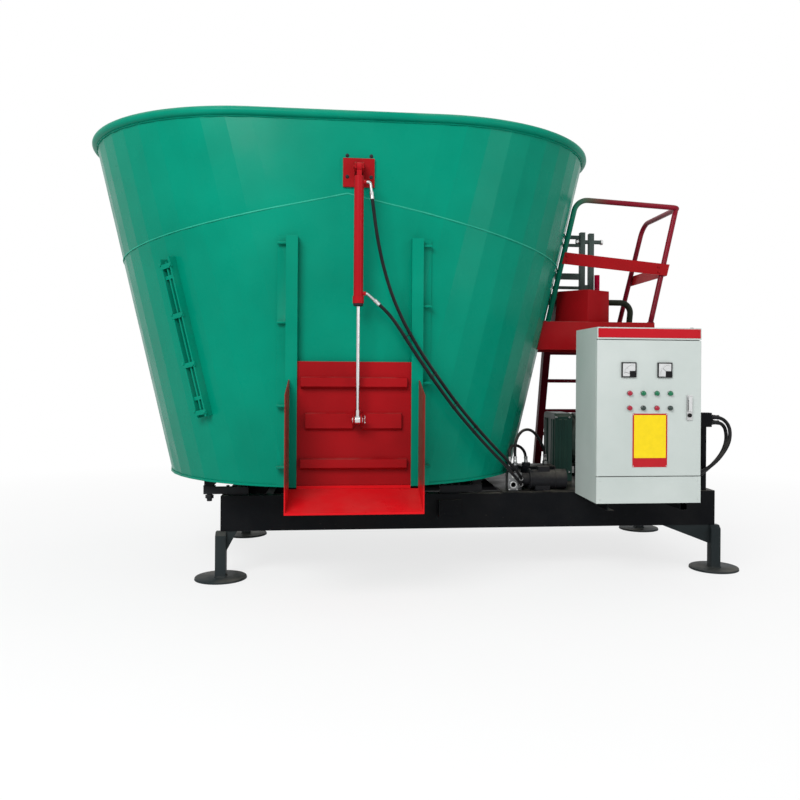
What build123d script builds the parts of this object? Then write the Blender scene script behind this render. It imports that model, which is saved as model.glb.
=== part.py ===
from build123d import *
import math
import os

# Stationary vertical feed mixer: an oval steel tub with one upright auger, standing on a
# four-legged frame with its discharge door, switch cabinet, power pack and service platform.
# Millimetres. X runs along the frame, -Y is the discharge side, Z is up. While it is drawn, the
# middle of the four feet on the ground is the zero point; at the end the whole machine is
# shifted so that its origin is the bottom centre of its bounding box.

# Frame: two long channels, cross members between them, and a leg under each end
FRAME_LENGTH = 2990
FRAME_WIDTH = 1260
FRAME_TOP = 475
BEAM_HEIGHT = 205
BEAM_FLANGE = 75
BEAM_WALL = 9
CROSS_FLANGE = 50
CROSS_WALL = 7
LOW_CROSS_HEIGHT = 110
DECK_THICKNESS = 6
DECK_START_X = 165
LUG_X = -230
LUG_LENGTH = 140
LUG_DEPTH = 55
LUG_LOW = 345
LUG_HIGH = 440
LEG_SIZE = 60
LEG_INSET = 5
FOOT_RADIUS = 149
FOOT_THICKNESS = 12
GUSSET_LONG = 300
GUSSET_SHORT = 60
GUSSET_DROP = 115

# Load cells and the subframe that rests on them
CELL_OFFSET = 785
CELL_PAD = 8
CELL_BAR = 40
CELL_CUP = 8
CELL_CUP_RADIUS = 36
CELL_REACH = 220
STUD_RADIUS = 15
STUD_DROP = 42
NUT_RADIUS = 24
BEARER_WIDTH = 50
BEARER_Y = 300

# Tub: round-ended, wider at the rim than at the floor, folded in flats
TUB_X = -778
FLOOR_BOTTOM = 579
FLOOR_THICKNESS = 12
FLOOR_LIP = 6
FLOOR_BORE = 180
WALL = 10
WALL_TOP = 2552
WALL_RADIUS_LOW = 1064
WALL_RADIUS_HIGH = 1040
STRAIGHT_LOW = 30
STRAIGHT_HIGH = 517
FLATS_PER_QUARTER = 12
RIM_RADIUS = 24
RIM_OUT = 6
RIM_SIDES = 8

# Auger
COLUMN_FLOOR_GAP = 11
COLUMN_FOOT_RADIUS = 340
COLUMN_FOOT_THICKNESS = 24
COLUMN_LOW_RADIUS = 290
COLUMN_HIGH_RADIUS = 150
COLUMN_TOP = 2080
COLUMN_WALL = 12
COLUMN_SIDES = 24
FLIGHT_FLOOR_GAP = 15
FLIGHT_THICKNESS = 14
FLIGHT_TURNS = 3.25
FLIGHT_TOP = 1960
FLIGHT_LOW_RADIUS = 985
FLIGHT_HIGH_RADIUS = 430
FLIGHT_TAPER_START = 0.14
PLATE_STEPS = 6
FLIGHT_START = 250
KNIFE_THICKNESS = 10
KNIFE_SEAT = 9
KNIFE_SHARES = (0.25, 0.35, 0.45, 0.55, 0.65, 0.75, 0.86, 0.95)

# Discharge door, its rails and the chute under it
DOOR_OFFSET = 43
DOOR_BACK = 1082
DOOR_THICKNESS = 8
DOOR_HALF_WIDTH = 308
DOOR_BOTTOM = 596
DOOR_HEIGHT = 656
DOOR_CLEARANCE = 6
OPENING_HALF_WIDTH = 283
OPENING_BOTTOM = 612
OPENING_TOP = 1228
RAIL_WIDTH = 62
RAIL_OVERLAP = 6
RAIL_STRIP = 48
RAIL_TOP = 1915
RAIL_FLANGE = 8
RAIL_GUSSET = 8
SILL_HEIGHT = 16
CHUTE_HALF_WIDTH = 341
CHUTE_REACH = 280
CHUTE_LIP_Z = 490
CHUTE_TOP_BACK = 1155
CHUTE_TOP_FRONT = 1086
CHUTE_FLOOR = 10

# Hydraulic cylinder on the wall over the door
CYLINDER_OFFSET = 15
CYLINDER_Y = -1160
CYLINDER_PIN_DROP = 282
CYLINDER_PIN_Z = WALL_TOP - CYLINDER_PIN_DROP
CYLINDER_RADIUS = 25
CYLINDER_COLLAR = 29
CYLINDER_BOTTOM = 1556
CYLINDER_HEAD_DROP = 48
CYLINDER_BORE = 19
PORT_LOW_Z = 1608
PORT_HIGH_Z = CYLINDER_PIN_Z - 78
PORT_RADIUS = 11
PORT_REACH = 14
ROD_RADIUS = 9.5
ROD_EYE_Z = 946
ROD_EYE_RADIUS = 23
PIN_RADIUS = 10
PIN_SIDES = 16
EYE_HALF = 13
EAR_THICKNESS = 9
EAR_GAP = 2
BRACKET_HALF = 84
BRACKET_BOTTOM = CYLINDER_PIN_Z - 82
BRACKET_TOP = CYLINDER_PIN_Z + 72

# Counter-knife slots on the wall
SLOT_LOW = 950
SLOT_HIGH = 1815
SLOT_TURN = 53
SLOT_HALF = 34
SLOT_DEPTH = 46
SLOT_PLATE = 10

# Drive: gearbox under the floor, shaft and belt guards, motor on the deck
GEARBOX_RADIUS = 185
SHAFT_Z = 432
SHAFT_BELL = 82
SHAFT_TUBE = 36
MOTOR_Z = 742
MOTOR_RADIUS = 185
MOTOR_BARREL = 400
MOTOR_RIBS = 20
GUARD_X = 612
GUARD_THICKNESS = 118
GUARD_HALF_WIDTH = 150
GUARD_TOP = 930
GUARD_SWAGE = 8

# Power pack on the front of the deck
TANK_X = 320
TANK_LENGTH = 225
TANK_FRONT = -430
TANK_WIDTH = 170
TANK_TOP = 612
FILLER_X = 360
FILLER_Y = -390
TANK_PORT_X = 500
TANK_PORT_Y = -320
PUMP_Y = -520
PUMP_Z = 545
PUMP_RADIUS = 58
VALVE_X = 205
VALVE_WIDTH = 63
VALVE_FRONT = -585
VALVE_BACK = -505
VALVE_TOP = 592
MANIFOLD_FRONT = -540
SOLENOIDS = ((222, -545, 645), (262, -520, 645))

# Service platform, its railing and ladder
PLATFORM_X = 1214
PLATFORM_FRONT = -350
PLATFORM_BACK = 300
PLATFORM_TOP = 1530
APRON_HEIGHT = 182
SHEET = 6
POST_RADIUS = 17
POST_SIDES = 10
POST_INSET = 4
RAIL_HEIGHT_LEFT = 2318
RAIL_HEIGHT_RIGHT = 2282
RAIL_RIGHT_X = 1378
RAIL_WALL_GAP = 8
RAIL_BEND = 90
RAIL_CORNER = 40
KICK_LEFT_Z = 1936
KICK_RIGHT_Z = 1872
KICK_HEIGHT = 74
LADDER_X = 648
LADDER_WIDTH = 400
LADDER_TOP = 1470
STILE = 50
RUNG_HEIGHTS = (620, 745, 917, 1141, 1345)
RUNG_HALF_DEPTH = 16
RUNG_HALF_HEIGHT = 13

# Sheet box on the platform, the mast behind it and the bent pipe
BOX_LEFT = 606
BOX_EDGE_X = 779
BOX_RIGHT = 954
BOX_FRONT = -320
BOX_BACK = 60
BOX_TOP = 1742
MAST_X = 858
MAST_Y = -20
MAST_TOP = 2160
MAST_BAR = 34
MAST_HALF = 48
MAST_PIN_Z = 2097
PIPE_Y = 150
PIPE_Z = 1700
PIPE_RADIUS = 21
PIPE_END_X = 1222

# Switch cabinet
CABINET_X = 600
CABINET_WIDTH = 602
CABINET_FRONT = -1060
CABINET_DEPTH = 400
CABINET_BOTTOM = 478
CABINET_HEIGHT = 978
CABINET_WALL = 3
HEADER_HEIGHT = 66
PLINTH_HEIGHT = 147
CABINET_DOOR_DEPTH = 20
CABINET_GAP = 5
DOOR_RIM = 22
HINGE_INSET_X = 9
HINGE_INSET_Y = 11
HINGE_PIN = 4
METER_SIZE = 84
METER_Z = 1220
METER_X = (780, 987)
LAMP_Z = (1090, 1008)
LAMP_X = 786
LAMP_STEP = 78
LAMP_RADIUS = 15
LOCK_X = 1132
LOCK_Z = 1010
GLAND_RADIUS = 15
GLANDS = ((-700, 580), (-660, 530))

# Cable post behind the cabinet
CABLE_POST_X = 1420
CABLE_POST_Y = -612
CABLE_POST_SIZE = 26
CABLE_POST_TOP = 940
CABLE_BOX_RIGHT = 1475

# Bends in steps of this many radians
BEND_STEP = 0.4

# Clearances: parts that seat on one another, and turned parts that run in one another
SEAT_GAP = 0.3
RUNNING_GAP = 0.5

HALF_LENGTH = FRAME_LENGTH / 2
HALF_WIDTH = FRAME_WIDTH / 2
BEAM_BOTTOM = FRAME_TOP - BEAM_HEIGHT
DECK_TOP = FRAME_TOP + DECK_THICKNESS
CUP_TOP = FRAME_TOP + CELL_PAD + CELL_BAR + CELL_CUP
FLOOR_TOP = FLOOR_BOTTOM + FLOOR_THICKNESS
COLUMN_FOOT = FLOOR_TOP + COLUMN_FLOOR_GAP
COLUMN_FOOT_TOP = COLUMN_FOOT + COLUMN_FOOT_THICKNESS
FLIGHT_LOW = FLOOR_TOP + FLIGHT_FLOOR_GAP + FLIGHT_THICKNESS / 2
DOOR_X = TUB_X + DOOR_OFFSET
DOOR_FRONT = DOOR_BACK + DOOR_THICKNESS
RAIL_FRONT = DOOR_FRONT + DOOR_CLEARANCE + RAIL_FLANGE
CYLINDER_X = DOOR_X + CYLINDER_OFFSET
POST_FOOT_X = PLATFORM_X - POST_RADIUS - POST_INSET


def block(x0, x1, y0, y1, z0, z1):
    """A rectangular block between two corners."""
    size = Box(abs(x1 - x0), abs(y1 - y0), abs(z1 - z0))
    return Pos((x0 + x1) / 2, (y0 + y1) / 2, (z0 + z1) / 2) * size


def upright(radius, x, y, z0, z1):
    """An upright round bar."""
    return Pos(x, y, (z0 + z1) / 2) * Cylinder(radius, z1 - z0)


def pin_x(radius, x0, x1, y, z):
    """A many-sided pin or eye along X."""
    return turned_x([(0, radius), (x1 - x0, radius)], PIN_SIDES, x0, y, z)


def skin(sections):
    """A closed solid through outlines with equally many points; a side that twists is two flats."""
    corners = [[Vector(*point) for point in section] for section in sections]
    faces = [Face(Wire.make_polygon(end, close=True)) for end in (corners[0], corners[-1])]
    for low, high in zip(corners, corners[1:]):
        for index in range(len(low)):
            after = (index + 1) % len(low)
            a, b, c, d = low[index], low[after], high[after], high[index]
            twist = (b - a).cross(d - a).normalized().dot(c - a)
            sides = [(a, b, c, d)] if abs(twist) < 1e-4 else [(a, b, c), (a, c, d)]
            faces.extend(Face(Wire.make_polygon(side, close=True)) for side in sides)
    return Solid(Shell(faces))


def turned(rows, sides):
    """A many-sided turned solid on the Z axis; rows are (height, radius)."""
    turns = [2 * math.pi * index / sides for index in range(sides)]
    return skin([[(r * math.cos(turn), r * math.sin(turn), z) for turn in turns] for z, r in rows])


def turned_x(rows, sides, x, y, z):
    """A many-sided turned solid along X from a point; rows are (distance, radius)."""
    return Pos(x, y, z) * Rot(0, 90, 0) * turned(rows, sides)


def bent_bar(points, radii, radius, sides):
    """A many-sided bar that runs straight between its bends, each bend in mitred steps."""
    corners = []
    for edge in FilletPolyline(*points, radius=radii).edges():
        steps = 1 if edge.geom_type == GeomType.LINE else max(2, round(edge.length / edge.radius / BEND_STEP))
        corners += [edge @ (step / steps) for step in range(steps)]
    path = Polyline(*corners, points[-1])
    return sweep((path ^ 0) * RegularPolygon(radius, sides), path=path, transition=Transition.RIGHT)


def cord(points, radius):
    """A hose or cable: a plain six-sided section along runs joined by arcs as large as they allow."""
    radii = []
    for before, corner, after in zip(points, points[1:], points[2:]):
        run_in = Vector(*corner) - Vector(*before)
        run_out = Vector(*after) - Vector(*corner)
        half_turn = math.radians(run_in.get_angle(run_out)) / 2
        radii.append(ARC_SHARE * min(run_in.length, run_out.length) / math.tan(half_turn))
    path = FilletPolyline(*points, radius=radii)
    return sweep((path ^ 0) * RegularPolygon(radius, CORD_SIDES), path=path)


def wall_share(z):
    return (z - FLOOR_BOTTOM) / (WALL_TOP - FLOOR_BOTTOM)


def wall_radius(z):
    """Outer radius of the tub's rounded ends at a height."""
    return WALL_RADIUS_LOW + (WALL_RADIUS_HIGH - WALL_RADIUS_LOW) * wall_share(z)


def wall_straight(z):
    """Half of the straight stretch between the rounded ends at a height."""
    return STRAIGHT_LOW + (STRAIGHT_HIGH - STRAIGHT_LOW) * wall_share(z)


def wall_end_x(z, y):
    """X of the wall's outer face at the tub's right-hand end."""
    return TUB_X + wall_straight(z) + math.sqrt(wall_radius(z) ** 2 - y ** 2)


def arc_points(z, side, start, flats, offset=0):
    """Corners of the folded wall round one end at a height, from a start angle."""
    radius = wall_radius(z) + offset
    points = []
    for index in range(flats + 1):
        turn = math.radians(start + index * 90 / FLATS_PER_QUARTER)
        points.append((TUB_X + side * wall_straight(z) + radius * math.cos(turn), radius * math.sin(turn), z))
    return points


def tub_outline(z, offset=0):
    """The tub's outline at a height, moved outwards by an offset."""
    flats = 2 * FLATS_PER_QUARTER
    return arc_points(z, 1, -90, flats, offset) + arc_points(z, -1, 90, flats, offset)


def tub_solid(offset=0):
    """Everything inside the tub's outer face, moved outwards by an offset."""
    return skin([tub_outline(FLOOR_BOTTOM, offset), tub_outline(WALL_TOP, offset)])


TUB_CLEAR = tub_solid(SEAT_GAP)


# The frame

def channel(length, height, flange, wall):
    """A rolled channel along X: web outside on y = 0, flanges towards +Y, resting on z = 0."""
    outline = Polyline((0, 0), (flange, 0), (flange, wall), (wall, wall), (wall, height - wall),
                       (flange, height - wall), (flange, height), (0, height), close=True)
    return extrude(Plane.YZ * make_face(outline), length)


def frame_beams():
    front = channel(FRAME_LENGTH, BEAM_HEIGHT, BEAM_FLANGE, BEAM_WALL)
    front = Pos(-HALF_LENGTH, -HALF_WIDTH, BEAM_BOTTOM) * front
    rear = mirror(front, about=Plane.XZ)
    lug = block(LUG_X, LUG_X + LUG_LENGTH, -HALF_WIDTH - BEAM_WALL, -HALF_WIDTH, LUG_LOW, LUG_HIGH)
    lug += block(LUG_X, LUG_X + BEAM_WALL, -HALF_WIDTH - LUG_DEPTH, -HALF_WIDTH, LUG_LOW, LUG_HIGH)
    return {"frame_beam_front": front + lug, "frame_beam_rear": rear}


def frame_cross_members():
    """Channels between the beams: (x of the web, side that the flanges point to, bottom, height)."""
    inner_height = BEAM_HEIGHT - 2 * BEAM_WALL
    inner_bottom = BEAM_BOTTOM + BEAM_WALL
    high_bottom = FRAME_TOP - BEAM_WALL - LOW_CROSS_HEIGHT
    table = [
        (-HALF_LENGTH, 1, inner_bottom, inner_height),
        (HALF_LENGTH, -1, inner_bottom, inner_height),
        (TUB_X - 520, 1, inner_bottom, LOW_CROSS_HEIGHT),
        (TUB_X + 520, -1, inner_bottom, LOW_CROSS_HEIGHT),
        (400, 1, inner_bottom, LOW_CROSS_HEIGHT),
        (770, 1, high_bottom, LOW_CROSS_HEIGHT),
        (1180, -1, high_bottom, LOW_CROSS_HEIGHT),
    ]
    span = FRAME_WIDTH - 2 * BEAM_WALL
    pieces = []
    for x, side, bottom, height in table:
        piece = channel(span, height, CROSS_FLANGE, CROSS_WALL)
        turn = -90 if side > 0 else 90
        start = -span / 2 if side < 0 else span / 2
        pieces.append(Pos(x, start, bottom) * Rot(0, 0, turn) * piece)
    return pieces


def deck_plate():
    deck = block(DECK_START_X, HALF_LENGTH, -HALF_WIDTH, HALF_WIDTH, FRAME_TOP, DECK_TOP)
    slot = block(GUARD_X - SEAT_GAP, GUARD_X + GUARD_THICKNESS + SEAT_GAP,
                 -GUARD_HALF_WIDTH - SEAT_GAP, GUARD_HALF_WIDTH + SEAT_GAP, FRAME_TOP, DECK_TOP)
    return deck - slot


def legs():
    """Post, round foot plate and gusset of each leg: (name, side in x, side in y, gusset length)."""
    table = [
        ("leg_front_left", -1, -1, GUSSET_SHORT),
        ("leg_front_right", 1, -1, GUSSET_LONG),
        ("leg_rear_left", -1, 1, GUSSET_SHORT),
        ("leg_rear_right", 1, 1, GUSSET_LONG),
    ]
    nodes = {}
    half = LEG_SIZE / 2
    for name, side_x, side_y, reach in table:
        x = side_x * (HALF_LENGTH - LEG_INSET)
        y = side_y * HALF_WIDTH
        post = block(x - half, x + half, y - half, y + half, FOOT_THICKNESS, BEAM_BOTTOM)
        corner = post.edges().filter_by(Axis.X).group_by(Axis.Z)[-1].sort_by(Axis.Y)
        post = chamfer(corner[0] if side_y < 0 else corner[-1], half - BEAM_WALL)
        foot = Pos(x, y, 0) * turned([(0, FOOT_RADIUS), (FOOT_THICKNESS, FOOT_RADIUS - 3)], 36)
        inner_x = x - side_x * half
        root_x, low = inner_x + side_x * 5, BEAM_BOTTOM - GUSSET_DROP
        outline = Polyline((root_x, BEAM_BOTTOM), (inner_x - side_x * reach, BEAM_BOTTOM),
                           (inner_x, low), (root_x, low), close=True)
        gusset = extrude(Plane.XZ * make_face(outline), BEAM_WALL / 2, both=True)
        nodes[name] = post + foot + Pos(0, y - side_y * BEAM_WALL, 0) * gusset
    return nodes


def load_cells():
    """Bar, cup and stud under each corner of the tub; the left-hand studs hang down with a nut."""
    z = FRAME_TOP + CELL_PAD
    pieces = []
    for side_x in (-1, 1):
        for side_y in (-1, 1):
            x = TUB_X + side_x * CELL_OFFSET
            y = side_y * (HALF_WIDTH - BEAM_FLANGE / 2)
            near = x + side_x * CELL_BAR * 0.8
            far = x - side_x * CELL_REACH
            low_y, high_y = y - CELL_BAR / 2, y + CELL_BAR / 2
            body = block(near, far, low_y, high_y, z, z + CELL_BAR)
            body += block(far, far + side_x * CELL_REACH / 2, low_y, high_y, FRAME_TOP, z)
            body += Pos(x, y, 0) * turned([(z + CELL_BAR, CELL_CUP_RADIUS), (CUP_TOP, CELL_CUP_RADIUS)], 16)
            if side_x < 0:
                body += Pos(x, y, 0) * turned([(z - STUD_DROP, STUD_RADIUS), (z, STUD_RADIUS)], 12)
                body += Pos(x, y, 0) * turned([(z - 26, NUT_RADIUS), (z - 6, NUT_RADIUS)], 6)
            pieces.append(body)
    return pieces


def tub_subframe():
    """Box bearers under the floor plate: two across over the load cells and two along."""
    half = BEARER_WIDTH / 2
    pieces = []
    for side in (-1, 1):
        x = TUB_X + side * CELL_OFFSET
        pieces.append(block(x - half, x + half, -HALF_WIDTH, HALF_WIDTH, CUP_TOP, FLOOR_BOTTOM))
        pieces.append(block(TUB_X - CELL_OFFSET, TUB_X + CELL_OFFSET, side * BEARER_Y - half,
                            side * BEARER_Y + half, CUP_TOP, FLOOR_BOTTOM))
    frame = pieces[0]
    for piece in pieces[1:]:
        frame += piece
    return frame


# The drive

def planetary_gearbox():
    """Reduction gearbox bolted under the floor, with its right-angle input towards +X."""
    rows = [(300, GEARBOX_RADIUS - 15), (315, GEARBOX_RADIUS), (405, GEARBOX_RADIUS),
            (410, GEARBOX_RADIUS + 20), (520, GEARBOX_RADIUS + 20), (530, GEARBOX_RADIUS + 70),
            (FLOOR_BOTTOM, GEARBOX_RADIUS + 70), (FLOOR_BOTTOM, FLOOR_BORE - 5),
            (COLUMN_FOOT - RUNNING_GAP, FLOOR_BORE - 5)]
    body = Pos(TUB_X, 0, 0) * turned(rows, 32)
    nose = [(GEARBOX_RADIUS - 60, 78), (250, 78), (250, 92), (275, 92), (275, 78), (330, 78)]
    return body + turned_x(nose, 24, TUB_X, 0, SHAFT_Z)


def shaft_guard():
    """Fixed guard tube round the cardan shaft, with a bell over the gearbox's joint."""
    start = TUB_X + 330
    rows = [(0, SHAFT_BELL), (60, SHAFT_BELL), (95, SHAFT_TUBE), (GUARD_X - start, SHAFT_TUBE)]
    return turned_x(rows, 24, start, 0, SHAFT_Z)


def belt_guard():
    """Sheet guard round the belt drive, with swages pressed in its face and side."""
    low = SHAFT_Z - GUARD_HALF_WIDTH
    half = GUARD_HALF_WIDTH
    guard = block(GUARD_X, GUARD_X + GUARD_THICKNESS, -half, half, max(low, BEAM_BOTTOM + 20), GUARD_TOP)
    guard = chamfer(guard.edges().filter_by(Axis.X), 22)
    for y in (-105, -60, 60, 105):
        guard += block(GUARD_X - GUARD_SWAGE, GUARD_X, y - 11, y + 11, 560, 890)
    for x in (26, 62):
        guard += block(GUARD_X + x, GUARD_X + x + 18, -half - GUARD_SWAGE, -half, 560, 890)
    return guard


def main_motor():
    """Electric motor on the deck: ribbed barrel, end shields, fan cowl, terminal box and feet."""
    start = GUARD_X + GUARD_THICKNESS
    first, last = 40, 40 + MOTOR_BARREL
    core, rib_top = MOTOR_RADIUS - 22, MOTOR_RADIUS - 4
    rows = [(0, MOTOR_RADIUS - 30), (first, MOTOR_RADIUS - 25), (first, MOTOR_RADIUS),
            (first + 26, MOTOR_RADIUS), (first + 26, core), (last - 26, core), (last - 26, MOTOR_RADIUS),
            (last, MOTOR_RADIUS), (last, MOTOR_RADIUS - 6), (last + 110, MOTOR_RADIUS - 10)]
    barrel = turned_x(rows, MOTOR_RIBS, start, 0, MOTOR_Z)
    for index in range(MOTOR_RIBS):
        rib = block(start + first + 20, start + last - 20, -3, 3, core - 6, rib_top)
        barrel += Pos(0, 0, MOTOR_Z) * Rot(360 * index / MOTOR_RIBS, 0, 0) * rib
    box_x = start + first + 120
    pieces = [block(box_x, box_x + 150, -75, 75, MOTOR_Z + 130, MOTOR_Z + MOTOR_RADIUS + 60)]
    for side in (-1, 1):
        foot = block(start + first + 40, start + last - 40, side * 120, side * 180, DECK_TOP, DECK_TOP + 18)
        foot += block(start + first + 60, start + last - 60, side * 118, side * 142, DECK_TOP, MOTOR_Z - 90)
        pieces.append(foot)
    outer = [max((piece - barrel).solids(), key=lambda solid: solid.volume) for piece in pieces]
    return Compound(children=[barrel.solid()] + outer)


def power_pack():
    """Hydraulic unit on the front of the deck: tank, pump motor and valve block."""
    tank = block(TANK_X, TANK_X + TANK_LENGTH, TANK_FRONT, TANK_FRONT + TANK_WIDTH, DECK_TOP, TANK_TOP)
    tank = chamfer(tank.edges().filter_by(Axis.Z), 10)
    tank += Pos(FILLER_X, FILLER_Y, 0) * turned([(TANK_TOP, 24), (TANK_TOP + 20, 24)], 16)
    tank += Pos(TANK_PORT_X, TANK_PORT_Y, 0) * turned([(TANK_TOP, 14), (TANK_TOP + 28, 14)], 12)
    rows = [(0, 38), (45, 38), (45, PUMP_RADIUS + 6), (57, PUMP_RADIUS + 6), (57, PUMP_RADIUS),
            (205, PUMP_RADIUS), (205, PUMP_RADIUS + 4), (275, PUMP_RADIUS + 4)]
    motor = turned_x(rows, 24, 300, PUMP_Y, PUMP_Z)
    motor += block(380, 470, PUMP_Y - 45, PUMP_Y + 45, DECK_TOP, PUMP_Z)
    motor += block(400, 470, PUMP_Y - 32, PUMP_Y + 32, PUMP_Z, PUMP_Z + 78)
    right = VALVE_X + VALVE_WIDTH
    valve = block(VALVE_X, right, VALVE_FRONT, VALVE_BACK, DECK_TOP, VALVE_TOP)
    valve = chamfer(valve.edges().filter_by(Axis.Y), 3)
    bore = turned([(-15, 15), (15, 15)], 12)
    valve -= Pos(VALVE_X + VALVE_WIDTH / 2, VALVE_FRONT, 520) * Rot(90, 0, 0) * bore
    valve += block(right, 300 - SEAT_GAP, MANIFOLD_FRONT, MANIFOLD_FRONT + 42, DECK_TOP, VALVE_TOP - 7)
    for x, y, top in SOLENOIDS:
        valve += Pos(x, y, 0) * turned([(VALVE_TOP, 17), (top, 17)], 16)
    return {"oil_tank": tank, "pump_motor": motor, "valve_block": valve}


# The tub

def door_opening():
    return block(DOOR_X - OPENING_HALF_WIDTH, DOOR_X + OPENING_HALF_WIDTH, -1500, -500,
                 OPENING_BOTTOM, OPENING_TOP)


def wall_quarter(side, start, low, high):
    """A quarter of a rounded end between two heights: plate folded in flats."""
    sections = []
    for z in (low, high):
        outer = arc_points(z, side, start, FLATS_PER_QUARTER)
        inner = arc_points(z, side, start, FLATS_PER_QUARTER, -WALL)
        sections.append(outer + inner[::-1])
    return skin(sections)


def wall_flat(side_y):
    """The flat wedge of wall between two rounded ends."""
    sections = []
    for z in (FLOOR_TOP, WALL_TOP):
        half, outer, inner = wall_straight(z), side_y * wall_radius(z), side_y * (wall_radius(z) - WALL)
        sections.append([(TUB_X - half, outer, z), (TUB_X + half, outer, z),
                         (TUB_X + half, inner, z), (TUB_X - half, inner, z)])
    return skin(sections)


def tub():
    opening = door_opening()
    low = [(x, y, FLOOR_BOTTOM) for x, y, z in tub_outline(FLOOR_TOP, FLOOR_LIP)]
    high = [(x, y, FLOOR_TOP) for x, y, z in low]
    bore = turned([(FLOOR_BOTTOM - 10, FLOOR_BORE), (FLOOR_TOP + 10, FLOOR_BORE)], 32)
    floor = skin([low, high]) - Pos(TUB_X, 0, 0) * bore
    nodes = {"tub_floor": floor}
    table = [
        ("wall_end_left_front", -1, 180),
        ("wall_end_left_rear", -1, 90),
        ("wall_end_right_front", 1, 270),
        ("wall_end_right_rear", 1, 0),
    ]
    courses = (FLOOR_TOP, OPENING_BOTTOM, OPENING_TOP, WALL_TOP)
    for name, side, start in table:
        if start < 180:
            nodes[name] = wall_quarter(side, start, FLOOR_TOP, WALL_TOP)
            continue
        foot, middle, top = [wall_quarter(side, start, low, high) for low, high in zip(courses, courses[1:])]
        nodes[name] = Compound(children=[foot, (middle - opening).solid(), top])
    nodes["wall_front"] = wall_flat(-1) - opening
    nodes["wall_rear"] = wall_flat(1)
    nodes["rim_tube"] = rim_tube()
    return nodes


def rim_tube():
    """The tube welded on the wall's top edge, mitred at each fold of the wall."""
    middle = WALL_TOP + RIM_RADIUS
    outline = []
    turns = [2 * math.pi * (index + 0.5) / RIM_SIDES for index in range(RIM_SIDES)]
    radius = RIM_RADIUS / math.cos(math.pi / RIM_SIDES)
    for turn in turns:
        out, rise = radius * math.cos(turn), radius * math.sin(turn)
        outline.append([(x, y, middle + rise) for x, y, z in tub_outline(WALL_TOP, out + RIM_OUT)])
    faces = []
    for low, high in zip(outline, outline[1:] + outline[:1]):
        for index in range(len(low)):
            after = (index + 1) % len(low)
            corners = [low[index], low[after], high[after], high[index]]
            faces.append(Face(Wire.make_polygon([Vector(*corner) for corner in corners], close=True)))
    return Solid(Shell(faces))


# The discharge door and what carries it

def door_rails():
    """Guide rails on the wall: (name, side in x, heights of the gussets on the outer side)."""
    table = [
        ("door_rail_left", -1, (690, 1015, 1457, 1878)),
        ("door_rail_right", 1, (690, 1141, 1553, 1878)),
    ]
    inner = DOOR_HALF_WIDTH - RAIL_OVERLAP
    groove_back = DOOR_BACK - DOOR_CLEARANCE
    groove_front = DOOR_FRONT + DOOR_CLEARANCE
    strip_shape = tub_solid(8)
    nodes = {}
    for name, side, heights in table:
        near = DOOR_X + side * inner
        far = near + side * RAIL_WIDTH
        rail = block(near, far, -RAIL_FRONT, -900, FLOOR_TOP, RAIL_TOP)
        deep = DOOR_X + side * (DOOR_HALF_WIDTH + DOOR_CLEARANCE)
        rail -= block(near - side, deep, -groove_front, -groove_back, 0, WALL_TOP)
        strip_end = far + side * RAIL_STRIP
        rail += block(far, strip_end, -RAIL_FRONT, -900, FLOOR_TOP, RAIL_TOP) & strip_shape
        for z in heights:
            rail += block(far, strip_end, -RAIL_FRONT + 22, -900, z - RAIL_GUSSET / 2, z + RAIL_GUSSET / 2)
        nodes[name] = rail - TUB_CLEAR
    return nodes


def door_sill():
    """Angle under the door that its lower edge rests on."""
    half = DOOR_HALF_WIDTH - RAIL_OVERLAP - SEAT_GAP
    top = DOOR_BOTTOM - SEAT_GAP
    sill = block(DOOR_X - half, DOOR_X + half, -RAIL_FRONT, -900, top - SILL_HEIGHT, top)
    rim = [(x, y, FLOOR_BOTTOM - SILL_HEIGHT) for x, y, z in tub_outline(FLOOR_TOP, FLOOR_LIP + SEAT_GAP)]
    return sill - skin([rim, [(x, y, OPENING_TOP) for x, y, z in rim]])


def chute():
    """Spout under the door: two cheek plates and a sloping floor, welded together."""
    back = -RAIL_FRONT - SEAT_GAP
    front = -RAIL_FRONT - CHUTE_REACH
    top = DOOR_BOTTOM - SEAT_GAP - SILL_HEIGHT
    outline = Polyline((back, top - CHUTE_FLOOR), (back, CHUTE_TOP_BACK), (front, CHUTE_TOP_FRONT),
                       (front, CHUTE_LIP_Z), close=True)
    cheek = extrude(Plane.YZ * make_face(outline), SHEET)
    outline = Polyline((back, top - CHUTE_FLOOR), (front, CHUTE_LIP_Z), (front, CHUTE_LIP_Z + CHUTE_FLOOR),
                       (back, top), close=True)
    floor = extrude(Plane.YZ * make_face(outline), 2 * CHUTE_HALF_WIDTH)
    body = Pos(DOOR_X - CHUTE_HALF_WIDTH, 0, 0) * floor
    body += Pos(DOOR_X - CHUTE_HALF_WIDTH - SHEET, 0, 0) * cheek
    body += Pos(DOOR_X + CHUTE_HALF_WIDTH, 0, 0) * cheek
    return body


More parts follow.
